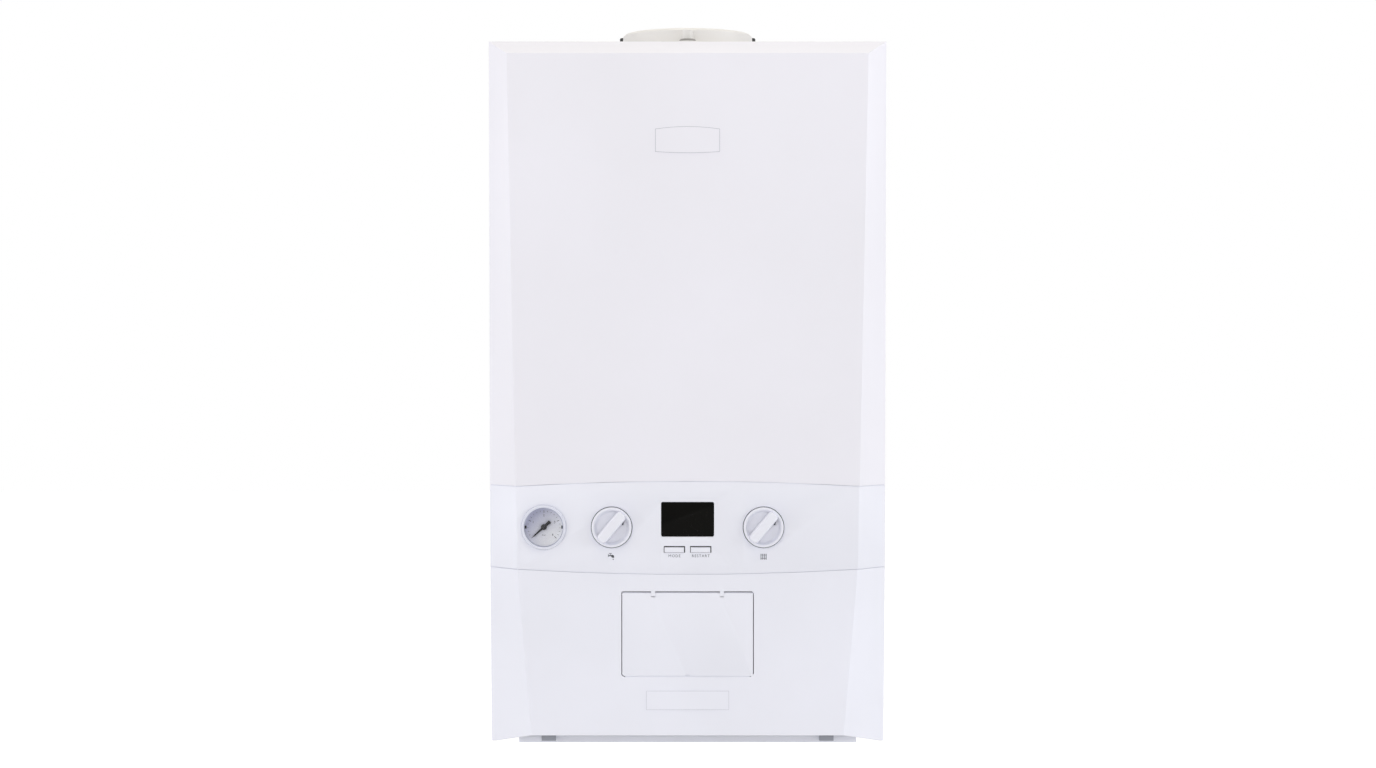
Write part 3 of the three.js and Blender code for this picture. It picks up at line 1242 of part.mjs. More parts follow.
function turretGasket() {
  const low = HEIGHT + FIT;
  const inner = AIR_RADIUS + GASKET_INSET;
  const outer = TURRET_RADIUS + TURRET_RIM - 1;
  const ring = turnedUp([
    [inner, low], [outer, low], [outer, low + GASKET], [inner, low + GASKET], [inner, low],
  ], 24);
  const holes = [-SCREW_X, SCREW_X].map((x) => (
    rod(SCREW_RADIUS + FIT, [x, SCREW_BACK, low - 1], [x, SCREW_BACK, low + GASKET + 1], 10)
  ));
  return piece('turret_gasket', cut(ring, holes), 'rubber', [0, TURRET_Y, 0]);
}

function turretScrew(name, x) {
  const seat = SCREW_SEAT + FIT;
  const tip = HEIGHT - SCREW_REACH;
  const screw = turnedUp([
    [0, tip], [SCREW_RADIUS, tip + 1], [SCREW_RADIUS, seat], [SCREW_HEAD_RADIUS, seat],
    [SCREW_HEAD_RADIUS, seat + 1.6], [SCREW_HEAD_RADIUS - 1.2, seat + 2.8], [0, seat + 3.1],
  ], 12);
  return piece(name, screw, 'blackPlastic', [x, SCREW_Y, 0]);
}

// ---------------------------------------------------------------- heat engine

// A finned block, open from top to bottom.
function heatExchanger() {
  const pitch = (2 * EXCHANGER_HALF) / FIN_COUNT;
  const outline = [[-EXCHANGER_HALF, EXCHANGER_REAR], [EXCHANGER_HALF, EXCHANGER_REAR]];
  for (let i = FIN_COUNT; i > 0; i -= 1) {
    const right = -EXCHANGER_HALF + i * pitch;
    const ridge = right - pitch / 2;
    const groove = EXCHANGER_FRONT + FIN_DEPTH;
    outline.push([right, EXCHANGER_FRONT], [ridge, EXCHANGER_FRONT]);
    outline.push([ridge, groove], [ridge - pitch / 2, groove]);
  }
  const body = column(outline, EXCHANGER_LOW, EXCHANGER_HEIGHT);
  const chamber = chamberHole(EXCHANGER_LOW - 1, EXCHANGER_HIGH + 1);
  return piece('heat_exchanger', cut(body, chamber), 'castAluminium');
}

// The passage for the burnt gas, down through the heat exchanger into the sump.
function chamberHole(low, high) {
  return block(
    -CHAMBER_HALF, CHAMBER_HALF,
    EXCHANGER_FRONT + EXCHANGER_WALL, EXCHANGER_REAR - EXCHANGER_WALL,
    low, high,
  );
}

function sump() {
  const wall = SUMP_WALL;
  const under = SUMP_HIGH - wall - 1;
  const over = SUMP_HIGH + 1;
  const body = block(
    -EXCHANGER_HALF, SUMP_RIGHT, EXCHANGER_FRONT, EXCHANGER_REAR, SUMP_LOW, SUMP_HIGH,
  );
  const basin = block(
    -EXCHANGER_HALF + wall, SUMP_RIGHT - wall,
    EXCHANGER_FRONT + wall, EXCHANGER_REAR - wall,
    SUMP_LOW + wall, SUMP_HIGH - wall,
  );
  const throat = chamberHole(under, over);
  const ductBore = DUCT_RADIUS - DUCT_WALL;
  const ductHole = rod(ductBore, [DUCT_X, EXCHANGER_Y, under], [DUCT_X, EXCHANGER_Y, over], 20);
  const drainTop = [TRAP_X, EXCHANGER_Y, SUMP_LOW + wall + 1];
  const drain = rod(DRAIN_RADIUS, [TRAP_X, EXCHANGER_Y, SUMP_LOW - 1], drainTop, 12);
  return piece('sump', cut(body, basin, throat, ductHole, drain), 'greyPlastic');
}

function burnerManifold() {
  const wall = MANIFOLD_WALL;
  const body = block(
    -EXCHANGER_HALF, EXCHANGER_HALF, EXCHANGER_FRONT, EXCHANGER_REAR, MANIFOLD_LOW, MANIFOLD_HIGH,
  );
  const across = (xLow, xHigh, halfDepth, zLow, zHigh) => (
    block(xLow, xHigh, EXCHANGER_Y - halfDepth, EXCHANGER_Y + halfDepth, zLow, zHigh)
  );
  const neckRight = NECK_LEFT + NECK_WIDTH;
  const neck = across(NECK_LEFT, neckRight, NECK_HALF_DEPTH, MANIFOLD_LOW, NECK_HIGH);
  const bridge = across(
    neckRight - 1, -EXCHANGER_HALF + 1, NECK_HALF_DEPTH, MANIFOLD_LOW, MANIFOLD_HIGH,
  );
  const innerDepth = MOUTH_HALF_DEPTH - 2;
  const inner = NECK_LEFT + wall;
  const passage = across(inner, BURNER_BORE - 1, innerDepth, MANIFOLD_LOW + wall, MANIFOLD_HIGH - wall);
  const throatRight = NECK_LEFT + MOUTH_WIDTH - wall;
  const throat = across(inner, throatRight, innerDepth, MANIFOLD_LOW + wall, NECK_HIGH + 1);
  const outletTop = [0, EXCHANGER_Y, MANIFOLD_HIGH - wall];
  const outlet = rod(BURNER_BORE, [0, EXCHANGER_Y, MANIFOLD_LOW - 1], outletTop, 20);
  const electrodeTop = [ELECTRODE_X, EXCHANGER_Y, MANIFOLD_HIGH + 1];
  const electrodeHole = rod(
    ELECTRODE_RADIUS + FIT, [ELECTRODE_X, EXCHANGER_Y, MANIFOLD_LOW - 1], electrodeTop, 10,
  );
  const whole = join(body, neck, bridge);
  return piece('burner_manifold', cut(whole, passage, throat, outlet, electrodeHole), 'castAluminium');
}

function burner() {
  const top = EXCHANGER_HIGH;
  const low = top - BURNER_LENGTH;
  const under = top - BURNER_WALL;
  const cup = turnedUp([
    [0, low],
    [BURNER_RADIUS, low],
    [BURNER_RADIUS, under],
    [BURNER_RADIUS + BURNER_FLANGE, under],
    [BURNER_RADIUS + BURNER_FLANGE, top],
    [BURNER_BORE, top],
    [BURNER_BORE, low + BURNER_WALL],
    [0, low + BURNER_WALL],
  ], 24);
  return piece('burner', cup, 'steel', [0, EXCHANGER_Y, 0]);
}

function ignitionElectrode() {
  const seat = MANIFOLD_HIGH + FIT;
  const tip = MANIFOLD_LOW - ELECTRODE_TIP;
  const wireTop = MANIFOLD_LOW - ELECTRODE_SLEEVE;
  const shape = turnedUp([
    [0, tip],
    [ELECTRODE_WIRE, tip],
    [ELECTRODE_WIRE, wireTop],
    [ELECTRODE_RADIUS, wireTop + 2],
    [ELECTRODE_RADIUS, seat],
    [ELECTRODE_COLLAR, seat],
    [ELECTRODE_COLLAR, seat + 4],
    [ELECTRODE_RADIUS, seat + 5],
    [ELECTRODE_RADIUS, seat + ELECTRODE_TOP],
    [0, seat + ELECTRODE_TOP + 1],
  ], 10);
  return piece('ignition_electrode', shape, 'ceramic', [ELECTRODE_X, EXCHANGER_Y, 0]);
}

function flueDuct() {
  const turnHigh = TURRET_LOW - DUCT_TOP_LENGTH;
  const turnLow = turnHigh - DUCT_SLANT_DROP;
  const route = [
    [DUCT_X, EXCHANGER_Y, SUMP_HIGH + FIT],
    [DUCT_X, EXCHANGER_Y, turnLow],
    [0, TURRET_Y, turnHigh],
    [0, TURRET_Y, FLUE_LOW - FIT],
  ];
  const duct = { wall: DUCT_WALL, bend: DUCT_BEND, sides: 14 };
  const shape = pipe(route, DUCT_RADIUS, duct);
  return piece('flue_duct', shape, 'steel');
}

function fanHousing() {
  const along = (radius, front, rear, sides) => (
    rod(radius, [FAN_X, front, FAN_Z], [FAN_X, rear, FAN_Z], sides)
  );
  const drum = along(FAN_RADIUS, FAN_FRONT, FAN_REAR, 24);
  const mouth = block(
    NECK_LEFT, NECK_LEFT + MOUTH_WIDTH,
    EXCHANGER_Y - MOUTH_HALF_DEPTH, EXCHANGER_Y + MOUTH_HALF_DEPTH,
    NECK_HIGH + FIT, FAN_Z,
  );
  const motor = along(FAN_MOTOR_RADIUS, FAN_REAR - 1, FAN_REAR + FAN_MOTOR_LENGTH, 20);
  const chamber = along(FAN_RADIUS - FAN_WALL, FAN_FRONT + FAN_WALL, FAN_REAR - FAN_WALL, 24);
  const blastDepth = MOUTH_HALF_DEPTH - FAN_WALL;
  const blast = block(
    NECK_LEFT + FAN_WALL, NECK_LEFT + MOUTH_WIDTH - FAN_WALL,
    EXCHANGER_Y - blastDepth, EXCHANGER_Y + blastDepth,
    NECK_HIGH, FAN_Z,
  );
  const eye = along(FAN_EYE, FAN_FRONT - 1, FAN_FRONT + FAN_WALL + 1, 20);
  const shaftHole = along(
    FAN_SHAFT + FIT, FAN_REAR - FAN_WALL - 1, FAN_REAR + FAN_SHAFT_LENGTH + 2, 10,
  );
  const whole = join(drum, mouth, motor);
  return piece('fan_housing', cut(whole, chamber, blast, eye, shaftHole), 'castAluminium');
}

// An impeller about its own axis: a back disc, radial blades, a hub and a shaft to the rear.
function impeller(radius, width, blades, shaftRadius, shaftLength) {
  const rear = width / 2;
  const inDisc = rear - BLADE_THICKNESS / 2;
  const disc = rod(radius, [0, rear, 0], [0, rear - BLADE_THICKNESS, 0], 24);
  const hub = rod(2.5 * shaftRadius, [0, inDisc, 0], [0, -width / 4, 0], 12);
  const shaft = rod(shaftRadius, [0, inDisc, 0], [0, rear + shaftLength, 0], 10);
  const half = BLADE_THICKNESS / 2;
  const fins = Array.from({ length: blades }, (_, i) => (
    block(radius / 2, radius - half, -rear, inDisc, -half, half)
      .rotateY((2 * Math.PI * i) / blades)
  ));
  return join(disc, hub, shaft, fins);
}

function fanImpeller() {
  const radius = FAN_RADIUS - FAN_WALL - FAN_TIP_GAP;
  const width = FAN_WIDTH - 2 * FAN_WALL - 2 * FAN_END_GAP;
  const shape = impeller(radius, width, FAN_BLADES, FAN_SHAFT, FAN_SHAFT_LENGTH);
  return piece('fan_impeller', shape, 'blackPlastic', [FAN_X, EXCHANGER_Y, FAN_Z]);
}

function venturi() {
  const ring = turnedForward([
    [FAN_EYE - 2, 0],
    [VENTURI_RADIUS + VENTURI_FLANGE, 0],
    [VENTURI_RADIUS + VENTURI_FLANGE, VENTURI_FLANGE],
    [VENTURI_RADIUS, VENTURI_FLANGE + 1],
    [VENTURI_RADIUS, VENTURI_LENGTH],
    [VENTURI_RADIUS - VENTURI_WALL, VENTURI_LENGTH],
    [FAN_EYE - 4, VENTURI_LENGTH / 2],
    [FAN_EYE - 2, 0],
  ], 24).translate(FAN_X, VENTURI_REAR, FAN_Z);
  const foot = [FAN_X, INJECTOR_Y, GAS_VALVE_HIGH + FIT];
  const head = [FAN_X, INJECTOR_Y, FAN_Z - VENTURI_RADIUS + VENTURI_WALL];
  const injector = rod(INJECTOR_RADIUS, foot, head, 12);
  return piece('venturi', join(ring, injector), 'blackPlastic');
}

function gasValve() {
  const half = GAS_VALVE_WIDTH / 2;
  const front = INJECTOR_Y - GAS_VALVE_DEPTH / 2;
  const body = block(
    FAN_X - half, FAN_X + half,
    front, front + GAS_VALVE_DEPTH,
    GAS_VALVE_LOW + GAS_PORT_LENGTH, GAS_VALVE_HIGH - GAS_PORT_LENGTH,
  );
  const portTop = [FAN_X, INJECTOR_Y, GAS_VALVE_HIGH];
  const ports = rod(GAS_PORT_RADIUS, [FAN_X, INJECTOR_Y, GAS_VALVE_LOW], portTop, 12);
  const coils = [GAS_VALVE_LOW + GAS_COIL_INSET, GAS_VALVE_HIGH - GAS_COIL_INSET].map((z) => (
    rod(GAS_COIL_RADIUS, [FAN_X, front + 1, z], [FAN_X, front - GAS_COIL_LENGTH, z], 16)
  ));
  return piece('gas_valve', join(body, ports, coils), 'castAluminium');
}

// ---------------------------------------------------------------- waterways

function expansionVessel() {
  // One skin of the drum, set in by a wall, from its back's middle to its front
  const skin = (wall) => {
    const radius = VESSEL_RADIUS - wall;
    const [back, front] = [wall, VESSEL_DEPTH - wall];
    return [
      [0, back],
      [radius - VESSEL_EDGE, back],
      [radius - VESSEL_EDGE * 0.3, back + VESSEL_EDGE * 0.3],
      [radius, back + VESSEL_EDGE],
      [radius, front - VESSEL_EDGE],
      [radius - VESSEL_EDGE * 0.3, front - VESSEL_EDGE * 0.3],
      [radius - VESSEL_EDGE, front],
      [VESSEL_PORT, front],
    ];
  };
  const vessel = turnedForward([...skin(0), ...skin(VESSEL_WALL).reverse()], 28);
  return piece('expansion_vessel', vessel, 'redSteel', [0, BACK_INNER - FIT, VESSEL_Z]);
}

function pumpVolute() {
  const drum = rod(VOLUTE_RADIUS, [PUMP_X, PUMP_REAR, PUMP_Z], [PUMP_X, PUMP_FACE, PUMP_Z], 28);
  const bossHalf = WIDE_PIPE + PUMP_BOSS;
  const outlet = block(
    PUMP_X - bossHalf, PUMP_X + bossHalf,
    RISER_Y - bossHalf, RISER_Y + bossHalf,
    PUMP_Z, PUMP_OUTLET_TOP,
  );
  const inlet = block(
    RETURN_TAIL_X - bossHalf, RETURN_TAIL_X + WIDE_PIPE,
    TAIL_Y - bossHalf, TAIL_Y + bossHalf,
    PUMP_INLET_LOW, PUMP_Z,
  );
  const chamber = rod(
    VOLUTE_RADIUS - VOLUTE_WALL,
    [PUMP_X, PUMP_REAR - VOLUTE_WALL, PUMP_Z],
    [PUMP_X, PUMP_FACE - 1, PUMP_Z],
    28,
  );
  const bore = WIDE_PIPE - PIPE_WALL;
  const outletBore = rod(bore, [PUMP_X, RISER_Y, PUMP_Z], [PUMP_X, RISER_Y, PUMP_OUTLET_TOP + 1], 12);
  const inletEnd = [RETURN_TAIL_X, TAIL_Y, PUMP_Z - VOLUTE_RADIUS / 2];
  const inletBore = rod(bore, [RETURN_TAIL_X, TAIL_Y, PUMP_INLET_LOW - 1], inletEnd, 12);
  const whole = join(drum, outlet, inlet);
  return piece('pump_volute', cut(whole, chamber, outletBore, inletBore), 'brass');
}

function pumpMotor() {
  const motor = turnedForward([
    [0, 0],
    [VOLUTE_RADIUS, 0],
    [VOLUTE_RADIUS, PUMP_FLANGE],
    [PUMP_MOTOR_RADIUS, PUMP_FLANGE + 1],
    [PUMP_MOTOR_RADIUS, PUMP_MOTOR_LENGTH - PUMP_MOTOR_CHAMFER],
    [PUMP_MOTOR_RADIUS - PUMP_MOTOR_CHAMFER, PUMP_MOTOR_LENGTH],
    [0, PUMP_MOTOR_LENGTH],
  ], 28);
  const bore = rod(PUMP_SHAFT + FIT, [0, 1, 0], [0, -PUMP_SHAFT_LENGTH, 0], 10);
  return piece('pump_motor', cut(motor, bore), 'blackPlastic', [PUMP_X, PUMP_FACE - FIT, PUMP_Z]);
}

function pumpImpeller() {
  const width = PUMP_IMPELLER_WIDTH;
  const shape = impeller(PUMP_IMPELLER_RADIUS, width, PUMP_BLADES, PUMP_SHAFT, PUMP_SHAFT_LENGTH);
  shape.rotateZ(Math.PI);
  const middle = PUMP_FACE + PUMP_END_GAP + width / 2;
  return piece('pump_impeller', shape, 'blackPlastic', [PUMP_X, middle, PUMP_Z]);
}

function plateHeatExchanger() {
  const left = DIVERTER_X + DIVERTER_WIDTH / 2 + FIT;
  const right = PUMP_X - VOLUTE_RADIUS - FIT;
  const rear = PLATE_PACK_Y + PLATE_PACK_DEPTH / 2;
  const pitch = PLATE_PACK_DEPTH / PLATE_RIDGES;
  const profile = [[rear - PLATE_PACK_DEPTH, PLATE_PACK_LOW], [rear, PLATE_PACK_LOW]];
  const top = PLATE_PACK_LOW + PLATE_PACK_HEIGHT;
  const groove = top - PLATE_RIDGE_HEIGHT;
  for (let i = 0; i < PLATE_RIDGES; i += 1) {
    const back = rear - i * pitch;
    const middle = back - pitch / 2;
    profile.push([back, top], [middle, top], [middle, groove], [back - pitch, groove]);
  }
  return piece('plate_heat_exchanger', beam(profile.reverse(), left, right - left), 'steel');
}

function diverter() {
  const half = DIVERTER_WIDTH / 2;
  const body = block(
    DIVERTER_X - half, DIVERTER_X + half,
    DIVERTER_FRONT, DIVERTER_REAR,
    DIVERTER_LOW, DIVERTER_HIGH,
  );
  const at = (y) => [DIVERTER_X, y, DIVERTER_Z];
  const spindleHole = DIVERTER_SPINDLE_RADIUS + FIT;
  const boreEnd = DIVERTER_REAR - DIVERTER_WALL;
  const bore = rod(spindleHole, at(boreEnd), at(DIVERTER_FRONT - 1), 10);
  const head = turnedForward([
    [0, 0],
    [DIVERTER_MOTOR_RADIUS, 0],
    [DIVERTER_MOTOR_RADIUS, DIVERTER_MOTOR_LENGTH - DIVERTER_WALL],
    [DIVERTER_MOTOR_RADIUS - DIVERTER_WALL, DIVERTER_MOTOR_LENGTH],
    [0, DIVERTER_MOTOR_LENGTH],
  ], 20);
  const headBoreLength = DIVERTER_SPINDLE_IN_HEAD + DIVERTER_WALL;
  const headBore = rod(spindleHole, [0, 1, 0], [0, -headBoreLength, 0], 10);
  const headRear = DIVERTER_FRONT - FIT;
  const spindle = rod(
    DIVERTER_SPINDLE_RADIUS,
    at(boreEnd - DIVERTER_TRAVEL - 1),
    at(headRear - DIVERTER_SPINDLE_IN_HEAD),
    10,
  );
  return group(
    piece('diverter_body', cut(body, bore), 'brass'),
    piece('diverter_motor', cut(head, headBore), 'whitePlastic', at(headRear)),
    piece('diverter_spindle', spindle, 'steel'),
  );
}

function reliefValve() {
  const start = VOLUTE_RADIUS + FIT;
  const end = start + RELIEF_LENGTH;
  const middle = start + RELIEF_LENGTH / 2;
  const body = join(
    rod(RELIEF_RADIUS, [start, 0, 0], [end, 0, 0], 14),
    rod(RELIEF_STEM, [start + 1, 0, 0], [end + RELIEF_STEM_LENGTH, 0, 0], 10),
    rod(RELIEF_OUTLET, [middle, 0, 0], [middle, 0, -RELIEF_OUTLET_LENGTH], 12),
  );
  const knobStart = end + FIT;
  const cap = cut(
    rod(RELIEF_KNOB_RADIUS, [knobStart, 0, 0], [knobStart + RELIEF_KNOB_LENGTH, 0, 0], 10),
    rod(RELIEF_STEM + FIT, [knobStart - 1, 0, 0], [end + RELIEF_STEM_LENGTH + 1, 0, 0], 10),
  );
  const at = [PUMP_X, TAIL_Y, PUMP_Z];
  return group(
    piece('relief_valve', body, 'brass', at),
    piece('relief_valve_knob', cap, 'redPlastic', at),
  );
}

function condensateTrap() {
  const top = SUMP_LOW - FIT;
  const low = top - TRAP_HEIGHT;
  const neckLow = top - TRAP_NECK / 2;
  const shoulder = top - TRAP_NECK;
  const shape = turnedUp([
    [0, low],
    [TRAP_RADIUS - 2, low],
    [TRAP_RADIUS, low + 2],
    [TRAP_RADIUS, shoulder],
    [TRAP_NECK, neckLow],
    [TRAP_NECK, top],
    [TRAP_NECK - TRAP_WALL, top],
    [TRAP_NECK - TRAP_WALL, neckLow - 1],
    [TRAP_RADIUS - TRAP_WALL, shoulder - TRAP_WALL],
    [TRAP_RADIUS - TRAP_WALL, low + TRAP_WALL],
    [0, low + TRAP_WALL],
  ], 18);
  return piece('condensate_trap', shape, 'greyPlastic', [TRAP_X, EXCHANGER_Y, 0]);
}

function pipework() {
  const port = -EXCHANGER_HALF - FIT;
  const plateFoot = PLATE_PACK_LOW - FIT;
  const small = { bend: SMALL_BEND, bendSteps: 2 };
  const flow = pipe([
    [port, RISER_Y, FLOW_PORT_Z], [FLOW_RISER_X, RISER_Y, FLOW_PORT_Z],
    [FLOW_RISER_X, RISER_Y, DIVERTER_HIGH + FIT],
  ], WIDE_PIPE);
  const back = pipe([
    [PUMP_X, RISER_Y, PUMP_OUTLET_TOP + FIT], [PUMP_X, RISER_Y, CROSSING_Z],
    [RETURN_RISER_X, RISER_Y, CROSSING_Z], [RETURN_RISER_X, RISER_Y, RETURN_PORT_Z],
    [port, RISER_Y, RETURN_PORT_Z],
  ], WIDE_PIPE, { bend: RETURN_BEND });
  const gasY = TAIL_Y - GAS_STEP;
  const gas = pipe([
    [0, TAIL_Y, TAIL_END],
    [0, TAIL_Y, GAS_STEP_LOW],
    [0, gasY, GAS_STEP_HIGH],
    [0, gasY, CROSSING_Z - GAS_TURN_DROP],
    [FAN_X, INJECTOR_Y + GAS_LEAN, CROSSING_Z - GAS_LEAN_DROP],
    [FAN_X, INJECTOR_Y, CROSSING_Z + GAS_LEAN_RISE],
    [FAN_X, INJECTOR_Y, GAS_VALVE_LOW - FIT],
  ], GAS_PIPE, small);
  const waterPipe = (x, plateX) => pipe([
    [x, TAIL_Y, TAIL_END],
    [x, TAIL_Y, WATER_STEP_LOW],
    [plateX, PLATE_PACK_Y, plateFoot - WATER_STEP_TOP],
    [plateX, PLATE_PACK_Y, plateFoot],
  ], NARROW_PIPE, small);
  const tail = (x, top) => pipe([[x, TAIL_Y, TAIL_END], [x, TAIL_Y, top]], WIDE_PIPE);
  return group(
    piece('flow_pipe', flow, 'copper'),
    piece('return_pipe', back, 'copper'),
    piece('gas_pipe', gas, 'copper'),
    piece('hot_water_pipe', waterPipe(-TAIL_PITCH, -TAIL_PITCH + HOT_PORT_IN), 'copper'),
    piece('cold_water_pipe', waterPipe(TAIL_PITCH, TAIL_PITCH - COLD_PORT_IN), 'copper'),
    piece('heating_flow_tail', tail(DIVERTER_X, DIVERTER_LOW - FIT), 'copper'),
    piece('heating_return_tail', tail(RETURN_TAIL_X, PUMP_INLET_LOW - FIT), 'copper'),
  );
}

// ---------------------------------------------------------------- the boiler

function casing() {
  return group(
    wallBracket(),
    backPanel(),
    sidePanel('left_side_panel', -1),
    sidePanel('right_side_panel', 1),
    topPanel(),
    bottomPanel(),
    hingeRod(),
    flueTurret(),
    turretGasket(),
    turretScrew('turret_screw_left', -SCREW_X),
    turretScrew('turret_screw_right', SCREW_X),
  );
}

function heatEngine() {
  return group(
    heatExchanger(),
    sump(),
    burnerManifold(),
    burner(),
    ignitionElectrode(),
    flueDuct(),
    fanHousing(),
    fanImpeller(),
    venturi(),
    gasValve(),
    condensateTrap(),
  );
}

function waterways() {
  return group(
    expansionVessel(),
    pumpVolute(),
    pumpMotor(),
    pumpImpeller(),
    plateHeatExchanger(),
    diverter(),
    reliefValve(),
    pipework(),
  );
}

const boiler = group(casing(), frontPanel(), controlPod(), heatEngine(), waterways());
boiler.position.z = -BRACKET_Z;

export default boiler;
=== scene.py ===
import json
import math

import bmesh
import bpy
from mathutils import Matrix, Vector


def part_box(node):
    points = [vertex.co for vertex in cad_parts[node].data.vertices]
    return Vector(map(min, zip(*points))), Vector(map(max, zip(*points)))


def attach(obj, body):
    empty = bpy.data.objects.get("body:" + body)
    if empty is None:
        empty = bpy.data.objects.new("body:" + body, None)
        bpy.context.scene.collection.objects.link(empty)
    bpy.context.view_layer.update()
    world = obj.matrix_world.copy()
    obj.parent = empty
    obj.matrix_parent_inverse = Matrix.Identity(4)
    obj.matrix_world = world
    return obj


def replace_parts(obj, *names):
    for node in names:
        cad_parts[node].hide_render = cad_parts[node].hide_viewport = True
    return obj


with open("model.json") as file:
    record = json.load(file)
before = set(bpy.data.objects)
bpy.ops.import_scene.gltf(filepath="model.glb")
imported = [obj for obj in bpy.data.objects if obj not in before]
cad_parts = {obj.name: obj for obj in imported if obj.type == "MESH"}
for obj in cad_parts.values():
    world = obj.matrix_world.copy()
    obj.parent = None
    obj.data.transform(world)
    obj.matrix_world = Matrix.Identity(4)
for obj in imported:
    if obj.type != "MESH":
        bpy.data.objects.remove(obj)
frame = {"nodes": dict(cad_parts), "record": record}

# A wall-hung combi boiler. Sizes are millimetres unless a name says otherwise. Places are given as
# on the boiler itself: x across, y from the wall (the room is at minus y), z up from the underside.

MM = 0.001
BRACKET_RISE = 620  # height of the wall plate's middle, the frame's origin, above the underside
FRONT_Y = -278
CONTROL_Z = 218.5   # the knobs' and the gauge's middle
GAUGE_X = -142.1

NODES = frame["nodes"]
BODY_OF = {
    node: body
    for body, members in frame["record"]["behaviour"]["bodies"].items()
    for node in members
}
SLOT_OF = {part["node"]: part["material_slot"] for part in frame["record"]["subparts"]}
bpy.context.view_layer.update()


def place(x, y, z):
    """A point on the boiler, in metres in the frame."""
    return Vector((x, y, z - BRACKET_RISE)) * MM


# ---------------------------------------------------------------- colours and finishes


def linear(colour):
    """A colour written as it looks on a screen, 0 to 255, as the light that it stands for."""
    def channel(value):
        share = value / 255
        return share / 12.92 if share <= 0.04045 else ((share + 0.055) / 1.055) ** 2.4

    return (*[channel(value) for value in colour], 1)


class Finish:
    """A material under way: its shader, and short calls for the nodes that feed it."""

    def __init__(self, name):
        self.material = bpy.data.materials.new(name)
        self.material.use_nodes = True
        self.tree = self.material.node_tree
        self.shader = self.tree.nodes["Principled BSDF"]
        self.place = self.add("ShaderNodeTexCoord").outputs["Object"]

    def add(self, kind, inputs=None, **settings):
        node = self.tree.nodes.new(kind)
        for key, value in settings.items():
            setattr(node, key, value)
        for key, value in (inputs or {}).items():
            if isinstance(value, bpy.types.NodeSocket):
                self.tree.links.new(value, node.inputs[key])
            else:
                node.inputs[key].default_value = value
        return node

    def feed(self, socket, output):
        self.tree.links.new(output, self.shader.inputs[socket])

    def fixed(self, **values):
        for key, value in values.items():
            self.shader.inputs[key.replace("_", " ")].default_value = value

    def stretched(self, along):
        """Places squeezed along the axes, so that what is drawn on them comes out long."""
        return self.add("ShaderNodeMapping", {"Vector": self.place, "Scale": along}).outputs[0]

    def noise(self, size, detail=2.0, rough=0.5, at=None):
        """Cloudy variation whose patches are about that many millimetres across."""
        inputs = {"Vector": at or self.place, "Scale": 1 / (size * MM), "Detail": detail, "Roughness": rough}
        return self.add("ShaderNodeTexNoise", inputs).outputs["Fac"]

    def cells(self, size):
        """Patches of one colour each, about that many millimetres across."""
        inputs = {"Vector": self.place, "Scale": 1 / (size * MM)}
        return self.add("ShaderNodeTexVoronoi", inputs).outputs["Color"]

    def spread(self, value, low, high, start=0.3, end=0.7):
        """That value's middle stretch, from start to end, laid over low to high."""
        inputs = {"Value": value, "From Min": start, "From Max": end, "To Min": low, "To Max": high}
        return self.add("ShaderNodeMapRange", inputs).outputs[0]

    def blend(self, factor, low, high):
        """From one colour to another, as the factor goes from 0 to 1."""
        node = self.add("ShaderNodeMix", data_type="RGBA")
        for socket, value in (("Factor_Float", factor), ("A_Color", low), ("B_Color", high)):
            entry = next(i for i in node.inputs if i.identifier == socket)
            if isinstance(value, bpy.types.NodeSocket):
                self.tree.links.new(value, entry)
            else:
                entry.default_value = value
        return next(o for o in node.outputs if o.identifier == "Result_Color")

    def relief(self, height, depth, strength, over=None):
        """Bumps that many millimetres deep, over any relief made before."""
        inputs = {"Height": height, "Distance": depth * MM, "Strength": strength}
        if over is not None:
            inputs["Normal"] = over
        return self.add("ShaderNodeBump", inputs).outputs[0]


def clouded(finish, low, high, size, detail=3.0):
    """The base colour, drifting between two close shades."""
    drift = finish.spread(finish.noise(size, detail), 0, 1)
    finish.feed("Base Color", finish.blend(drift, linear(low), linear(high)))


def mottled_sheen(finish, low, high, size):
    """Roughness that drifts between two levels."""
    finish.feed("Roughness", finish.spread(finish.noise(size, 4), low, high))


def powder_coat(name, low, high, sheen=(0.34, 0.44)):
    """Baked paint on sheet steel: a faint orange peel, and a soft gloss."""
    finish = Finish(name)
    clouded(finish, low, high, 240)
    mottled_sheen(finish, *sheen, 60)
    peel = finish.relief(finish.noise(1.6, 1.5), 0.05, 0.35)
    finish.feed("Normal", finish.relief(finish.noise(14, 1), 0.12, 0.12, peel))
    return finish.material


def moulding(name, low, high, grain=0.5, depth=0.03, sheen=(0.38, 0.48)):
    """A moulded plastic with the fine spark-eroded grain of its tool."""
    finish = Finish(name)
    clouded(finish, low, high, 180)
    mottled_sheen(finish, *sheen, 40)
    finish.feed("Normal", finish.relief(finish.noise(grain, 3, 0.6), depth, 0.5))
    return finish.material


def polished_black(name):
    """A display window: black behind a clear gloss skin, with the haze of wiping."""
    finish = Finish(name)
    clouded(finish, (4, 4, 3), (8, 7, 5), 30)
    wiped = finish.noise(9, 4, 0.6, finish.stretched((0.25, 1, 1)))
    finish.feed("Roughness", finish.spread(wiped, 0.05, 0.14))
    finish.fixed(Specular_IOR_Level=0.06)
    finish.feed("Normal", finish.relief(finish.noise(18, 1), 0.02, 0.2))
    return finish.material


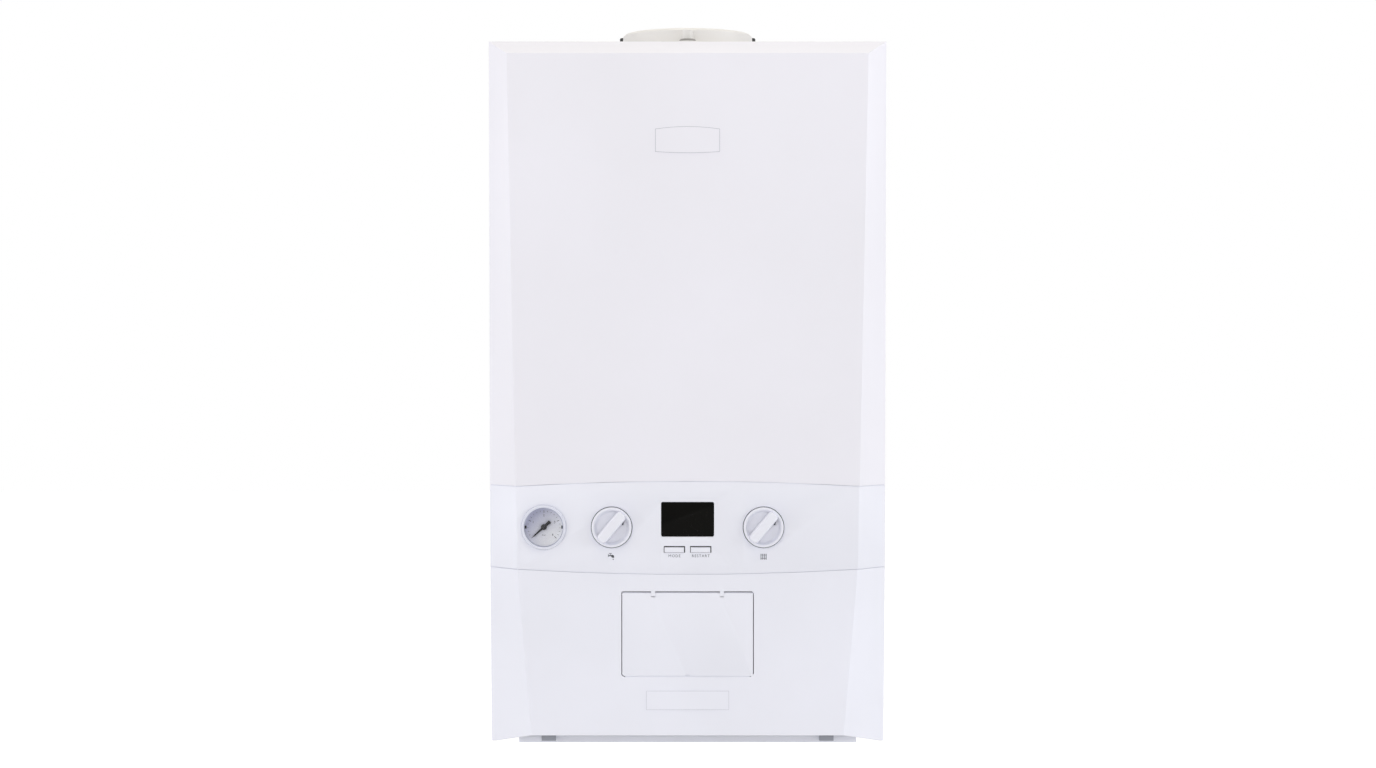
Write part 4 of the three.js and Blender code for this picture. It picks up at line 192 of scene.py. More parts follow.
def clear_moulding(name):
    """A clear lens, nearly all see-through, with faint flow lines."""
    finish = Finish(name)
    clouded(finish, (60, 62, 66), (72, 74, 78), 12)
    finish.fixed(Alpha=0.05, IOR=1.49)
    finish.feed("Roughness", finish.spread(finish.noise(6, 2), 0.02, 0.06))
    finish.feed("Normal", finish.relief(finish.noise(10, 1), 0.03, 0.3))
    return finish.material


def zinc_coat(name):
    """Galvanised sheet: flat zinc crystals of slightly different greys, and a few dull streaks."""
    finish = Finish(name)
    spangle = finish.add("ShaderNodeSeparateColor", {"Color": finish.cells(5)}).outputs[0]
    crystal = finish.blend(spangle, linear((176, 181, 185)), linear((202, 206, 209)))
    streak = finish.spread(finish.noise(50, 4, 0.6, finish.stretched((1, 1, 0.3))), 0, 0.5)
    finish.feed("Base Color", finish.blend(streak, crystal, linear((160, 163, 164))))
    finish.feed("Roughness", finish.spread(spangle, 0.32, 0.5, 0, 1))
    finish.fixed(Metallic=0.85)
    finish.feed("Normal", finish.relief(finish.noise(0.8, 2), 0.02, 0.3))
    return finish.material


def cast_metal(name, low, high, sheen, metallic=0.9, grain=1.1):
    """A sand or die casting: a pitted skin, duller in its hollows."""
    finish = Finish(name)
    skin = finish.noise(grain, 5, 0.6)
    finish.feed("Base Color", finish.blend(finish.spread(skin, 0, 1), linear(low), linear(high)))
    finish.feed("Roughness", finish.spread(finish.noise(16, 3), *sheen))
    finish.fixed(Metallic=metallic)
    finish.feed("Normal", finish.relief(skin, 0.12, 0.5))
    return finish.material


def drawn_metal(name, low, high, sheen, tarnish=26):
    """Tube or bar: bright metal with drawing lines along it and patches of tarnish."""
    finish = Finish(name)
    patch = finish.spread(finish.noise(tarnish, 5, 0.6), 0, 1, 0.35, 0.75)
    finish.feed("Base Color", finish.blend(patch, linear(high), linear(low)))
    finish.feed("Roughness", finish.spread(patch, *sheen, 0, 1))
    finish.fixed(Metallic=1.0)
    lines = finish.noise(0.4, 2, 0.5, finish.stretched((1, 1, 0.04)))
    finish.feed("Normal", finish.relief(lines, 0.02, 0.4))
    return finish.material


def board_resist(name):
    """Green solder resist, with paler tracks under it in blocks and runs."""
    finish = Finish(name)
    inputs = {"Vector": finish.place, "Scale": 1 / (9 * MM), "Mortar Size": 0.06, "Bias": 0.0}
    tracks = finish.add("ShaderNodeTexBrick", inputs).outputs["Fac"]
    ground = finish.blend(finish.noise(20, 3), linear((30, 92, 50)), linear((44, 116, 64)))
    finish.feed("Base Color", finish.blend(tracks, ground, linear((84, 150, 92))))
    finish.feed("Roughness", finish.spread(finish.noise(3, 2), 0.25, 0.4))
    finish.feed("Normal", finish.relief(tracks, 0.04, 0.5))
    return finish.material


def dial_tint(name, middle, reach):
    """A card with a painted shadow: a violet shade where the bezel shades the dial, deepest at the upper left
    and gone at the lower right. It fades across that many millimetres on each side of a middle, given across
    and up."""
    finish = Finish(name)
    corner = finish.add("ShaderNodeSeparateXYZ", {"Vector": finish.place})
    inputs = {0: corner.outputs["X"], 1: corner.outputs["Z"]}
    fall = finish.add("ShaderNodeMath", inputs, operation="SUBTRACT")
    start = place(middle[0], 0, middle[1])
    shadow_fade = finish.spread(
        fall.outputs[0], 0, 1, start.x - start.z - reach * MM, start.x - start.z + reach * MM,
    )
    finish.feed("Base Color", finish.blend(shadow_fade, linear((186, 188, 212)), linear((246, 247, 252))))
    finish.feed("Roughness", finish.spread(finish.noise(8, 2), 0.5, 0.6))
    finish.feed("Normal", finish.relief(finish.noise(0.5, 2), 0.01, 0.3))
    return finish.material


FINISHES = {
    "white_steel": powder_coat("white_steel", (233, 232, 240), (237, 236, 245)),
    "white_plastic": moulding("white_plastic", (229, 230, 240), (234, 235, 246), depth=0.02),
    "grey_plastic": moulding("grey_plastic", (230, 232, 243), (236, 238, 250)),
    "black_plastic": moulding("black_plastic", (20, 21, 23), (30, 31, 34), grain=0.7, depth=0.05),
    "black_gloss": polished_black("black_gloss"),
    "clear_plastic": clear_moulding("clear_plastic"),
    # The dial's off-white is set a little darker for the shade in the recessed dial: partly painted shade.
    "dial_face": moulding("dial_face", (208, 212, 224), (226, 230, 240), depth=0.01),
    "turret_plastic": moulding("turret_plastic", (226, 224, 222), (233, 231, 229), grain=0.9, depth=0.05),
    "galvanised_steel": zinc_coat("galvanised_steel"),
    "cast_aluminium": cast_metal("cast_aluminium", (138, 141, 145), (178, 181, 184), (0.4, 0.58)),
    "steel": drawn_metal("steel", (158, 162, 168), (196, 200, 206), (0.22, 0.36), 40),
    "copper": drawn_metal("copper", (150, 84, 54), (206, 128, 90), (0.18, 0.4)),
    "brass": cast_metal("brass", (158, 134, 78), (196, 172, 110), (0.28, 0.45), 1.0, 0.9),
    "red_steel": powder_coat("red_steel", (146, 40, 33), (164, 50, 40), (0.25, 0.38)),
    "red_plastic": moulding("red_plastic", (170, 30, 25), (190, 42, 34), sheen=(0.25, 0.36)),
    "circuit_board": board_resist("circuit_board"),
    "ceramic": moulding("ceramic", (226, 220, 206), (240, 234, 222), grain=2.5, sheen=(0.12, 0.22)),
    "rubber": moulding("rubber", (36, 36, 38), (50, 50, 52), grain=1.4, depth=0.08, sheen=(0.7, 0.85)),
}
GREY_PRINT = moulding("grey_print", (70, 72, 84), (90, 92, 104), depth=0.005)
SIGN_PRINT = moulding("sign_print", (124, 126, 136), (142, 144, 154), depth=0.005)
# The dial card's colour is painted shadow: the bezel's shade on the dial, violet at the upper left.
DIAL_SHADE = dial_tint("dial_print", (GAUGE_X, CONTROL_Z), 21)
PALE_PRINT = moulding("pale_print", (176, 178, 188), (188, 190, 200), depth=0.005)
BEZEL_FINISH = moulding("bezel", (216, 218, 230), (224, 226, 238), depth=0.01, sheen=(0.25, 0.35))
# Painted shade: the colour of the thin rings that stand for the shaded gaps round the gauge's bezel.
RING_SHADE_FINISH = moulding("ring_shade", (150, 154, 176), (164, 168, 190), depth=0.01)
BLACK_PRINT = moulding("black_print", (22, 22, 26), (34, 34, 38), depth=0.005)


# ---------------------------------------------------------------- from a shape to a piece

WELD = 0.002 * MM
FLAT = math.radians(0.6)     # faces nearer than this in turn are one flat
HARD = math.radians(32)      # an edge sharper than this is a corner, and gets rounded
BEND = math.radians(72)      # a corner gentler than this, on a cover, is a bend in it
LONG = 12 * MM               # an edge longer than this can be a bend
NEAR = 0.15 * MM             # places nearer than this count as the same
PLAIN_AREA = 60              # square millimetres; a larger face is shaded flat


def add_piece(shape, name, body, finish, second=None, smooth_below=math.inf):
    """Makes the object of a bmesh shape, rides it on its body and gives it its finish, or two.
    Faces of fewer square millimetres than smooth_below are shaded round. Shading handed down from
    the solid is dropped, because it belongs to the unrounded shape."""
    mesh = bpy.data.meshes.new(name)
    shape.to_mesh(mesh)
    shape.free()
    handed_down = mesh.attributes.get("custom_normal")
    if handed_down:
        mesh.attributes.remove(handed_down)
    for face in mesh.polygons:
        face.use_smooth = face.area < smooth_below * MM * MM
    mesh.set_sharp_from_angle(angle=math.radians(38))
    for coat in filter(None, (finish, second)):
        mesh.materials.append(coat)
    piece = bpy.data.objects.new(name, mesh)
    bpy.context.scene.collection.objects.link(piece)
    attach(piece, body)
    return piece


def flat_shading(piece):
    """Keeps large faces flat beside their rounded edges."""
    normals = piece.modifiers.new("flat faces", "WEIGHTED_NORMAL")
    normals.keep_sharp = True


def merged_copy(node):
    """A solid's own shape, with its triangles joined into whole faces."""
    shape = bmesh.new()
    shape.from_mesh(NODES[node].data)
    bmesh.ops.remove_doubles(shape, verts=shape.verts, dist=WELD)
    bmesh.ops.dissolve_limit(shape, angle_limit=FLAT, verts=shape.verts, edges=shape.edges)
    return shape


def turn_of(edge):
    return edge.calc_face_angle() if len(edge.link_faces) == 2 else 0


def round_over(shape, edges, radius, segments):
    bmesh.ops.bevel(
        shape, geom=edges, offset=radius * MM, offset_type="OFFSET", affect="EDGES",
        segments=segments, profile=0.5, material=-1, clamp_overlap=True,
    )


def finished(node, edge=0.4, bend=0, segments=2, corners=(), turned_shape=False):
    """The solid again, with its corners rounded over and any long bends given their radius.
    The corners listed, (half width, z, radius), run straight back, and are round as seen from the
    front. A turned shape is shaded round all over, and any other keeps its large faces flat."""
    shape = merged_copy(node)
    for half, z, radius in corners:
        round_over(shape, corner_edges(shape, half, z), radius, 6)
    if bend:
        bends = [e for e in shape.edges if HARD / 2 < turn_of(e) < BEND and e.calc_length() > LONG]
        round_over(shape, bends, bend, 5)
    if edge:
        round_over(shape, [e for e in shape.edges if turn_of(e) > HARD], edge, segments)
    slot = SLOT_OF[node]
    limit = math.inf if turned_shape else PLAIN_AREA
    piece = add_piece(
        shape, f"{node}_finished", BODY_OF[node], FINISHES[slot], smooth_below=limit,
    )
    if turned_shape:
        flat_shading(piece)
    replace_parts(piece, node)


def corner_edges(shape, half, z):
    """The edges that run straight back at a half width and a height."""
    wanted = place(half, 0, z)
    found = []
    for edge in shape.edges:
        a, b = (vert.co for vert in edge.verts)
        same_line = max(abs(a.x - b.x), abs(a.z - b.z)) < NEAR
        if same_line and abs(abs(a.x) - wanted.x) < NEAR and abs(a.z - wanted.z) < NEAR:
            found.append(edge)
    return found


def box_ends(node):
    """A node's lowest and highest corners, as places on the boiler."""
    rise = Vector((0, 0, BRACKET_RISE))
    return tuple(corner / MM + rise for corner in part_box(node))


FLAP_LOW, FLAP_HIGH = box_ends("programmer_flap")
FLAP_GAP = 0.8      # round the closed flap
FLAP_TOP = 154.4    # the closed flap's upper edge
FLAP_CORNER = 2.6
FLAP_CORNERS = [(FLAP_HIGH.x, z, FLAP_CORNER) for z in (FLAP_LOW.z, FLAP_TOP)]
APERTURE_CORNERS = [
    (half + FLAP_GAP, z + FLAP_GAP * up, radius + FLAP_GAP)
    for (half, z, radius), up in zip(FLAP_CORNERS, (-1, 1))
]
DISPLAY_LOW, DISPLAY_HIGH = box_ends("display_lens")
DISPLAY_RIM = 1.5  # of the window behind the fascia
DISPLAY_CORNERS = [
    (DISPLAY_HIGH.x - DISPLAY_RIM, z, 1.4)
    for z in (DISPLAY_LOW.z + DISPLAY_RIM, DISPLAY_HIGH.z - DISPLAY_RIM)
]
WINDOW_GAP = 0.3
WINDOW_CORNERS = [
    (half + WINDOW_GAP, z + WINDOW_GAP * up, radius + WINDOW_GAP)
    for (half, z, radius), up in zip(DISPLAY_CORNERS, (-1, 1))
]

EDGES = {  # node: what finished() does to it
    "front_panel": {"edge": 0.35, "bend": 2.6},
    "control_fascia": {"edge": 0.35, "bend": 2.6, "corners": WINDOW_CORNERS},
    "display_lens": {"edge": 0.2, "corners": DISPLAY_CORNERS},
    "lower_panel": {"edge": 0.35, "bend": 2.6, "corners": APERTURE_CORNERS},
    "programmer_flap": {"edge": 0.35, "corners": FLAP_CORNERS},
    "gauge_case": {"edge": 0.45, "segments": 3, "turned_shape": True},
    "pod_housing": {"edge": 0.5},
    "flue_turret": {"edge": 0.8, "segments": 3, "turned_shape": True},
    "heat_exchanger": {"edge": 0.7},
    "sump": {"edge": 2, "segments": 3},
    "burner_manifold": {"edge": 1.6, "segments": 3},
    "fan_housing": {"edge": 1.4, "segments": 3, "turned_shape": True},
    "venturi": {"edge": 0.5, "turned_shape": True},
    "gas_valve": {"edge": 0.8, "turned_shape": True},
    "pump_volute": {"edge": 1.2, "segments": 3, "turned_shape": True},
    "diverter_body": {"edge": 1.6, "segments": 3},
    "relief_valve": {"edge": 0.4, "turned_shape": True},
    "plate_heat_exchanger": {"edge": 0.7},
    "wall_bracket": {"edge": 0.3},
    "left_side_panel": {"edge": 0.35},
    "right_side_panel": {"edge": 0.35},
    "top_panel": {"edge": 0.3},
    "back_panel": {"edge": 0.3},
    "bottom_panel": {"edge": 0.3},
}


LATCH_FINISH = moulding("latch", (142, 145, 157), (164, 167, 178), depth=0.03)
CAP_FINISH = moulding("cap", (138, 136, 134), (154, 152, 150), grain=1.2, sheen=(0.6, 0.75))
OWN_FINISH = {"left_latch": LATCH_FINISH, "right_latch": LATCH_FINISH, "sampling_cap": CAP_FINISH}


def dress_solids():
    """Gives every solid its finish, and makes the rounded pieces."""
    for node, solid in NODES.items():
        solid.data.materials.clear()
        solid.data.materials.append(OWN_FINISH.get(node, FINISHES[SLOT_OF[node]]))
        if node in EDGES:
            finished(node, **EDGES[node])


# ---------------------------------------------------------------- basic shapes


def tidied(shape):
    """Welds a shape's seams and turns its faces outwards."""
    bmesh.ops.remove_doubles(shape, verts=shape.verts, dist=WELD)
    bmesh.ops.recalc_face_normals(shape, faces=shape.faces)
    return shape


def block(x, y, z):
    """A box between pairs of places, across, from the wall and up."""
    shape = bmesh.new()
    bmesh.ops.create_cube(shape, size=1)
    low, high = (place(*corner) for corner in zip(x, y, z))
    bmesh.ops.scale(shape, vec=high - low, verts=shape.verts)
    bmesh.ops.translate(shape, vec=(low + high) / 2, verts=shape.verts)
    return tidied(shape)


def rod(radius, start, end, sides):
    """A bar with that many sides between two places."""
    shape = bmesh.new()
    a, b = place(*start), place(*end)
    turn = Vector((0, 0, 1)).rotation_difference(b - a)
    bmesh.ops.create_cone(
        shape, cap_ends=True, segments=sides, depth=(b - a).length,
        radius1=radius * MM, radius2=radius * MM,
        matrix=Matrix.Translation((a + b) / 2) @ turn.to_matrix().to_4x4(),
    )
    return shape


def turned(outline, centre, axis, steps):
    """A round shape about a line through a place, from its outline of (radius, distance along it)."""
    shape = bmesh.new()
    axis = Vector(axis)
    across = axis.orthogonal().normalized()
    points = [
        shape.verts.new(place(*centre) + (across * radius + axis * along) * MM)
        for radius, along in outline
    ]
    edges = [shape.edges.new(pair) for pair in zip(points, points[1:])]
    bmesh.ops.spin(
        shape, geom=points + edges, cent=place(*centre), axis=axis, dvec=(0, 0, 0),
        angle=math.tau, steps=steps, use_merge=True, use_normal_flip=False, use_duplicate=False,
    )
    return tidied(shape)


def swung(shape, degrees, x, z):
    """Turned clockwise, as seen from the room, about a place on the front."""
    turn = Matrix.Rotation(math.radians(degrees), 3, "Y")
    bmesh.ops.rotate(shape, verts=shape.verts, cent=place(x, 0, z), matrix=turn)
    return shape


def white_trim(shape, name, node):
    """A white moulded piece on the body of a node."""
    return add_piece(shape, name, BODY_OF[node], FINISHES["white_plastic"])


def joined(shapes):
    """One shape of several."""
    whole = bmesh.new()
    for shape in shapes:
        mesh = bpy.data.meshes.new("shape")
        shape.to_mesh(mesh)
        shape.free()
        whole.from_mesh(mesh)
        bpy.data.meshes.remove(mesh)
    return whole


CAPITAL_SHARE = 0.73  # of a letter's height in the size that the font is given
INK = 0.04            # thickness of a print


def lettering(word, height, x, y, z):
    """A word printed on a face that looks into the room, about its middle."""
    text = bpy.data.curves.new(word, "FONT")
    text.body = word
    text.size = height * MM / CAPITAL_SHARE
    text.align_x = text.align_y = "CENTER"
    text.extrude = INK / 2 * MM
    text.space_character = 1.2
    text.resolution_u = 3
    holder = bpy.data.objects.new(word, text)
    mesh = bpy.data.meshes.new_from_object(holder)
    bpy.data.objects.remove(holder)
    shape = bmesh.new()
    shape.from_mesh(mesh)
    bpy.data.meshes.remove(mesh)
    upright = Matrix.Rotation(math.pi / 2, 3, "X")
    bmesh.ops.rotate(shape, verts=shape.verts, cent=(0, 0, 0), matrix=upright)
    bmesh.ops.translate(shape, verts=shape.verts, vec=place(x, y - INK / 2, z))
    return shape


def print_block(x, z, y):
    """A printed bar on a face that looks into the room, between pairs of places."""
    return block(x, (y - INK, y), z)


# ---------------------------------------------------------------- knobs and their signs

KNOBS = {"hot_water_knob": -75, "heating_knob": 75}
KNOB_RADIUS = 19.8
COLLAR = (20.5, 21.25)  # inner and outer radius of the collar in the fascia round each knob
COLLAR_FRONT = -0.1     # the collar and the knob are measured forward from the front face
COLLAR_BACK = -2.4
KNOB_PROUD = 3
KNOB_FLOOR = 8          # behind the front face
RIM = 2.4
SHOULDER = 0.9          # radius of the knob's turned corners
DISH_RADIUS = 15.2
DISH_FLOOR = -1.8
GRIP_FRONT = 9
GRIP_WIDTH = 9
GRIP_FLARE = 1.25       # of its foot over its front
GRIP_END = 3.4          # radius of its ends, as seen from the front
GRIP_BROW = 1.5         # radius of its front edges
GRIP_ANGLE = 50
MARK = (11.3, 4.6)      # the pointer's middle, across and up from the knob's
MARK_SIZE = (1.6, 4.8)
MARK_ANGLE = 14         # from upright
SPINDLE_RADIUS = 3
SIGN_DROP = 29


def knob(node, x):
    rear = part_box(node)[1].y / MM - FRONT_Y
    dish = KNOB_RADIUS - RIM
    body = turned([
        (0, -rear),
        (SPINDLE_RADIUS, -rear),
        (SPINDLE_RADIUS, -KNOB_FLOOR),
        (KNOB_RADIUS, -KNOB_FLOOR),
        (KNOB_RADIUS, KNOB_PROUD),
        (dish, KNOB_PROUD),
        (DISH_RADIUS, DISH_FLOOR),
        (0, DISH_FLOOR),
    ], (x, FRONT_Y, CONTROL_Z), (0, -1, 0), 96)
    shoulders = [e for e in body.edges if turn_of(e) > HARD / 2]
    round_over(body, shoulders, SHOULDER, 4)
    half = GRIP_WIDTH / 2
    grip = block(
        (x - dish, x + dish), (FRONT_Y - GRIP_FRONT, FRONT_Y), (CONTROL_Z - half, CONTROL_Z + half),
    )
    foot = [vert for vert in grip.verts if vert.co.y > place(0, FRONT_Y - 1, 0).y]
    middle = Matrix.Translation(-place(x, 0, CONTROL_Z))
    bmesh.ops.scale(grip, verts=foot, vec=(1, 1, GRIP_FLARE), space=middle)
    ends = [e for e in grip.edges if abs((e.verts[0].co - e.verts[1].co).y) > 1 * MM]
    round_over(grip, ends, GRIP_END, 6)
    near_front = place(0, FRONT_Y - GRIP_FRONT + 1, 0).y
    front = [e for e in grip.edges if all(v.co.y < near_front for v in e.verts)]
    round_over(grip, front, GRIP_BROW, 4)
    swung(grip, -GRIP_ANGLE, x, CONTROL_Z)
    piece = add_piece(
        joined([body, grip]), f"{node}_moulded", BODY_OF[node], FINISHES["white_plastic"],
    )
    flat_shading(piece)
    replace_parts(piece, node)
    across, up = (size / 2 for size in MARK_SIZE)
    mark_x, mark_z = x + MARK[0], CONTROL_Z + MARK[1]
    mark = block(
        (mark_x - across, mark_x + across), (FRONT_Y - 0.4, FRONT_Y + 2), (mark_z - up, mark_z + up),
    )
    swung(mark, MARK_ANGLE, mark_x, mark_z)
    add_piece(mark, f"{node}_pointer", BODY_OF[node], GREY_PRINT)
    inner, outer = COLLAR
    chamfer = 0.3
    collar = turned([
        (inner, COLLAR_BACK),
        (outer, COLLAR_BACK),
        (outer, COLLAR_FRONT),
        (inner + chamfer, COLLAR_FRONT),
        (inner, COLLAR_FRONT - chamfer),
        (inner, COLLAR_BACK),
    ], (x, FRONT_Y, CONTROL_Z), (0, -1, 0), 96)
    white_trim(collar, f"{node}_collar", "control_fascia")


def tap_sign(x, z):
    """A tap, side on: its handle, its body, and a spout with a drop under it."""
    bars = (
        ((-3.3, 1.2), (0.4, 1.8)), ((0.9, 2.3), (-1.2, 0.9)), ((-1.7, -0.9), (1.8, 3.0)),
        ((-2.9, 0.3), (3.0, 3.6)), ((-3.6, -2.9), (-0.2, 2.4)),
    )
    shapes = [print_block([x + a for a in across], [z + b for b in up], FRONT_Y) for across, up in bars]
    bend = rod(1.4, (x + 0.9, FRONT_Y, z + 0.4), (x + 0.9, FRONT_Y - INK, z + 0.4), 20)
    drop = rod(0.6, (x + 1.6, FRONT_Y, z - 2.6), (x + 1.6, FRONT_Y - INK, z - 2.6), 16)
    return joined([*shapes, bend, drop])


def radiator_sign(x, z):
    """A panel radiator: four columns and the two rails that join them."""
    columns = [
        print_block((x + at - 0.4, x + at + 0.4), (z - 2.9, z + 2.9), FRONT_Y)
        for at in (-2.55, -0.85, 0.85, 2.55)
    ]
    rails = [print_block((x - 3, x + 3), (z + up - 0.25, z + up + 0.25), FRONT_Y) for up in (-1.7, 1.7)]
    return joined(columns + rails)


def knobs_and_signs():
    for node, x in KNOBS.items():
        knob(node, x)
    sign_z = CONTROL_Z - SIGN_DROP
    pod = BODY_OF["control_fascia"]
    add_piece(tap_sign(KNOBS["hot_water_knob"], sign_z), "tap_sign", pod, SIGN_PRINT)
    add_piece(radiator_sign(KNOBS["heating_knob"], sign_z), "radiator_sign", pod, SIGN_PRINT)


# ---------------------------------------------------------------- pressure gauge

DIAL_Y = FRONT_Y + 5
SCALE_START = -132  # degrees from straight up, where the needle rests
SCALE_TURN = 264
BARS = 4
TICKS_EACH = 5
TICK_OUTER = 16.6
NUMBER_RADIUS = 11.6
STOP_ANGLE = 90
NUMBER_HEIGHT = 2.4
UNIT_HEIGHT = 1.8
UNIT_DROP = 8
CARD_RADIUS = 18.8


def gauge_mark(angle, width, inner, outer, height=INK):
    """A stroke on the dial, between two radii, at so many degrees clockwise from straight up."""
    half = width / 2
    mark = block(
        (GAUGE_X - half, GAUGE_X + half), (DIAL_Y - height, DIAL_Y), (CONTROL_Z + inner, CONTROL_Z + outer),
    )
    return swung(mark, angle, GAUGE_X, CONTROL_Z)


def gauge_scale():
    """The dial's print: fine strokes, a number at each bar, and the two dark stops at the sides."""
    marks = []
    for step in range(BARS * TICKS_EACH + 1):
        angle = SCALE_START + SCALE_TURN * step / (BARS * TICKS_EACH)
        width, inner = (0.28, 15.2) if step % TICKS_EACH else (0.5, 14.0)
        marks.append(gauge_mark(angle, width, inner, TICK_OUTER))
    for number in range(BARS + 1):
        angle = math.radians(SCALE_START + SCALE_TURN * number / BARS)
        x, z = GAUGE_X + NUMBER_RADIUS * math.sin(angle), CONTROL_Z + NUMBER_RADIUS * math.cos(angle)
        marks.append(lettering(str(number), NUMBER_HEIGHT, x, DIAL_Y, z))
    marks.append(lettering("bar", UNIT_HEIGHT, GAUGE_X, DIAL_Y, CONTROL_Z - UNIT_DROP))
    add_piece(joined(marks), "gauge_scale", BODY_OF["gauge_dial"], BLACK_PRINT)
    stops = [gauge_mark(side * STOP_ANGLE, 3.0, 17.2, 18.9, 0.8) for side in (-1, 1)]
    add_piece(joined(stops), "gauge_stops", BODY_OF["gauge_dial"], BLACK_PRINT)


BEZEL_OUTER = 21.8
BEZEL_INNER = 19.4
BEZEL_PROUD = 1.5


def gauge_bezel():
    """The case's face ring: a raised rim outside, a fine groove, and a lip that holds the lens, with two
    thin dark rings at the rim's foot and inside the lip that are painted shade for the gaps there.
    """
    ring = turned([
        (BEZEL_OUTER, 0.1),
        (BEZEL_OUTER + 0.3, 0.6),
        (BEZEL_OUTER, BEZEL_PROUD + 0.5),
        (BEZEL_OUTER - 0.9, BEZEL_PROUD + 0.7),
        (BEZEL_OUTER - 1.2, BEZEL_PROUD - 0.3),
        (BEZEL_OUTER - 1.6, BEZEL_PROUD - 0.3),
        (BEZEL_INNER + 0.4, BEZEL_PROUD + 0.3),
        (BEZEL_INNER - 0.3, BEZEL_PROUD),
        (BEZEL_INNER - 0.3, 1.0),
        (BEZEL_INNER + 0.1, 0.1),
        (BEZEL_OUTER, 0.1),
    ], (GAUGE_X, FRONT_Y, CONTROL_Z), (0, -1, 0), 96)
    add_piece(ring, "gauge_bezel", BODY_OF["gauge_case"], BEZEL_FINISH)
    # Painted shade: thin dark bluish rings where the gaps round the bezel and the lens fall in shade.
    shade_rings = []
    for inner, low in ((BEZEL_OUTER, 0.0), (BEZEL_INNER - 0.5, BEZEL_PROUD - 0.3)):
        outer, high = inner + 0.45, low + 0.5
        outline = [(inner, low), (outer, low), (outer, high), (inner, high), (inner, low)]
        shade_rings.append(turned(outline, (GAUGE_X, FRONT_Y, CONTROL_Z), (0, -1, 0), 96))
    add_piece(joined(shade_rings), "gauge_shade_rings", BODY_OF["gauge_case"], RING_SHADE_FINISH)


NEEDLE_FRONT = 3.6  # behind the front face


def bold_needle():
    """The needle's moulded cover: a tapered pointer, a round boss and a blunt tail."""
    y = FRONT_Y + NEEDLE_FRONT
    pointer = block((GAUGE_X - 1.3, GAUGE_X + 1.3), (y - 0.4, y + 0.5), (CONTROL_Z, CONTROL_Z + 14.4))
    tail = block((GAUGE_X - 1.2, GAUGE_X + 1.2), (y - 0.4, y + 0.5), (CONTROL_Z - 8.2, CONTROL_Z))
    middle = Matrix.Translation(-place(GAUGE_X, 0, 0))
    for arm, reach, share in ((pointer, 14, 0.3), (tail, -8, 1.5)):
        tips = [v for v in arm.verts if (v.co.z - place(0, 0, CONTROL_Z + reach).z) * reach > 0]
        bmesh.ops.scale(arm, verts=tips, vec=(share, 1, 1), space=middle)
        swung(arm, SCALE_START, GAUGE_X, CONTROL_Z)
    boss = rod(2.9, (GAUGE_X, y + 0.6, CONTROL_Z), (GAUGE_X, y - 0.9, CONTROL_Z), 32)
    add_piece(joined([pointer, tail, boss]), "needle_cover", BODY_OF["gauge_needle"], BLACK_PRINT)


def dial_print():
    """The card over the dial, coloured with its painted shadow."""
    outline = [(0, 0), (CARD_RADIUS, 0), (CARD_RADIUS, INK / 2), (0, INK / 2)]
    card = turned(outline, (GAUGE_X, DIAL_Y, CONTROL_Z), (0, -1, 0), 72)
    add_piece(card, "dial_card", BODY_OF["gauge_dial"], DIAL_SHADE)


BUTTON_RIM = 1.2  # of its flange behind the fascia
BUTTON_GAPS = {"left": 0.35, "right": 0.75, "top": 0.95, "bottom": 0.05}


def button(node):
    """A push button: it sits low and left in its hole, and its upper edge slopes back."""
    low, high = box_ends(node)
    x = (low.x + BUTTON_RIM + BUTTON_GAPS["left"], high.x - BUTTON_RIM - BUTTON_GAPS["right"])
    z = (low.z + BUTTON_RIM + BUTTON_GAPS["bottom"], high.z - BUTTON_RIM - BUTTON_GAPS["top"])
    cap = block(x, (low.y, high.y), z)
    brow = [e for e in cap.edges if all(v.co.y < place(0, low.y + 1, 0).y for v in e.verts)]
    top = [e for e in brow if all(v.co.z > place(0, 0, z[1] - 1).z for v in e.verts)]
    round_over(cap, top, 0.9, 3)
    rest = [e for e in cap.edges if turn_of(e) > HARD and e.calc_length() > 1 * MM]
    round_over(cap, rest, 0.25, 2)
    flange = block((low.x, high.x), (FRONT_Y + 2.8, FRONT_Y + 4.8), (low.z, high.z))
    slot = SLOT_OF[node]
    piece = add_piece(joined([cap, flange]), f"{node}_moulded", BODY_OF[node], FINISHES[slot])
    flat_shading(piece)
    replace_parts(piece, node)


def button_shield():
    """A dark plate behind the fascia: painted shade, which darkens the buttons' gaps."""
    low, _ = box_ends("mode_button")
    _, high = box_ends("restart_button")
    backing_shade = block((low.x, high.x), (FRONT_Y + 2.55, FRONT_Y + 2.75), (low.z, high.z))
    add_piece(backing_shade, "button_shield", BODY_OF["control_fascia"], FINISHES["black_plastic"])


# ---------------------------------------------------------------- fascia, flap and plates

BUTTON_X = 13
LEGEND_Z = 190.2
LEGEND_HEIGHT = 2.8
SEAM = 0.8
TONGUE_BACK = 0.7  # how far behind the outside a joint's tongue lies
FLAP_FOOT_BACK = 0.6
NOTCH_HALF = 3.2
LUG_X = 34            # of the hinge lugs
LUG_SLOT_HALF = 2.05
SHADE_STRIP_TOP = FLAP_TOP + FLAP_GAP + 0.1


def legends():
    """The word under each button."""
    words = [
        lettering(word, LEGEND_HEIGHT, x, FRONT_Y, LEGEND_Z)
        for word, x in (("MODE", -BUTTON_X), ("RESTART", BUTTON_X))
    ]
    add_piece(joined(words), "button_legends", BODY_OF["control_fascia"], GREY_PRINT)


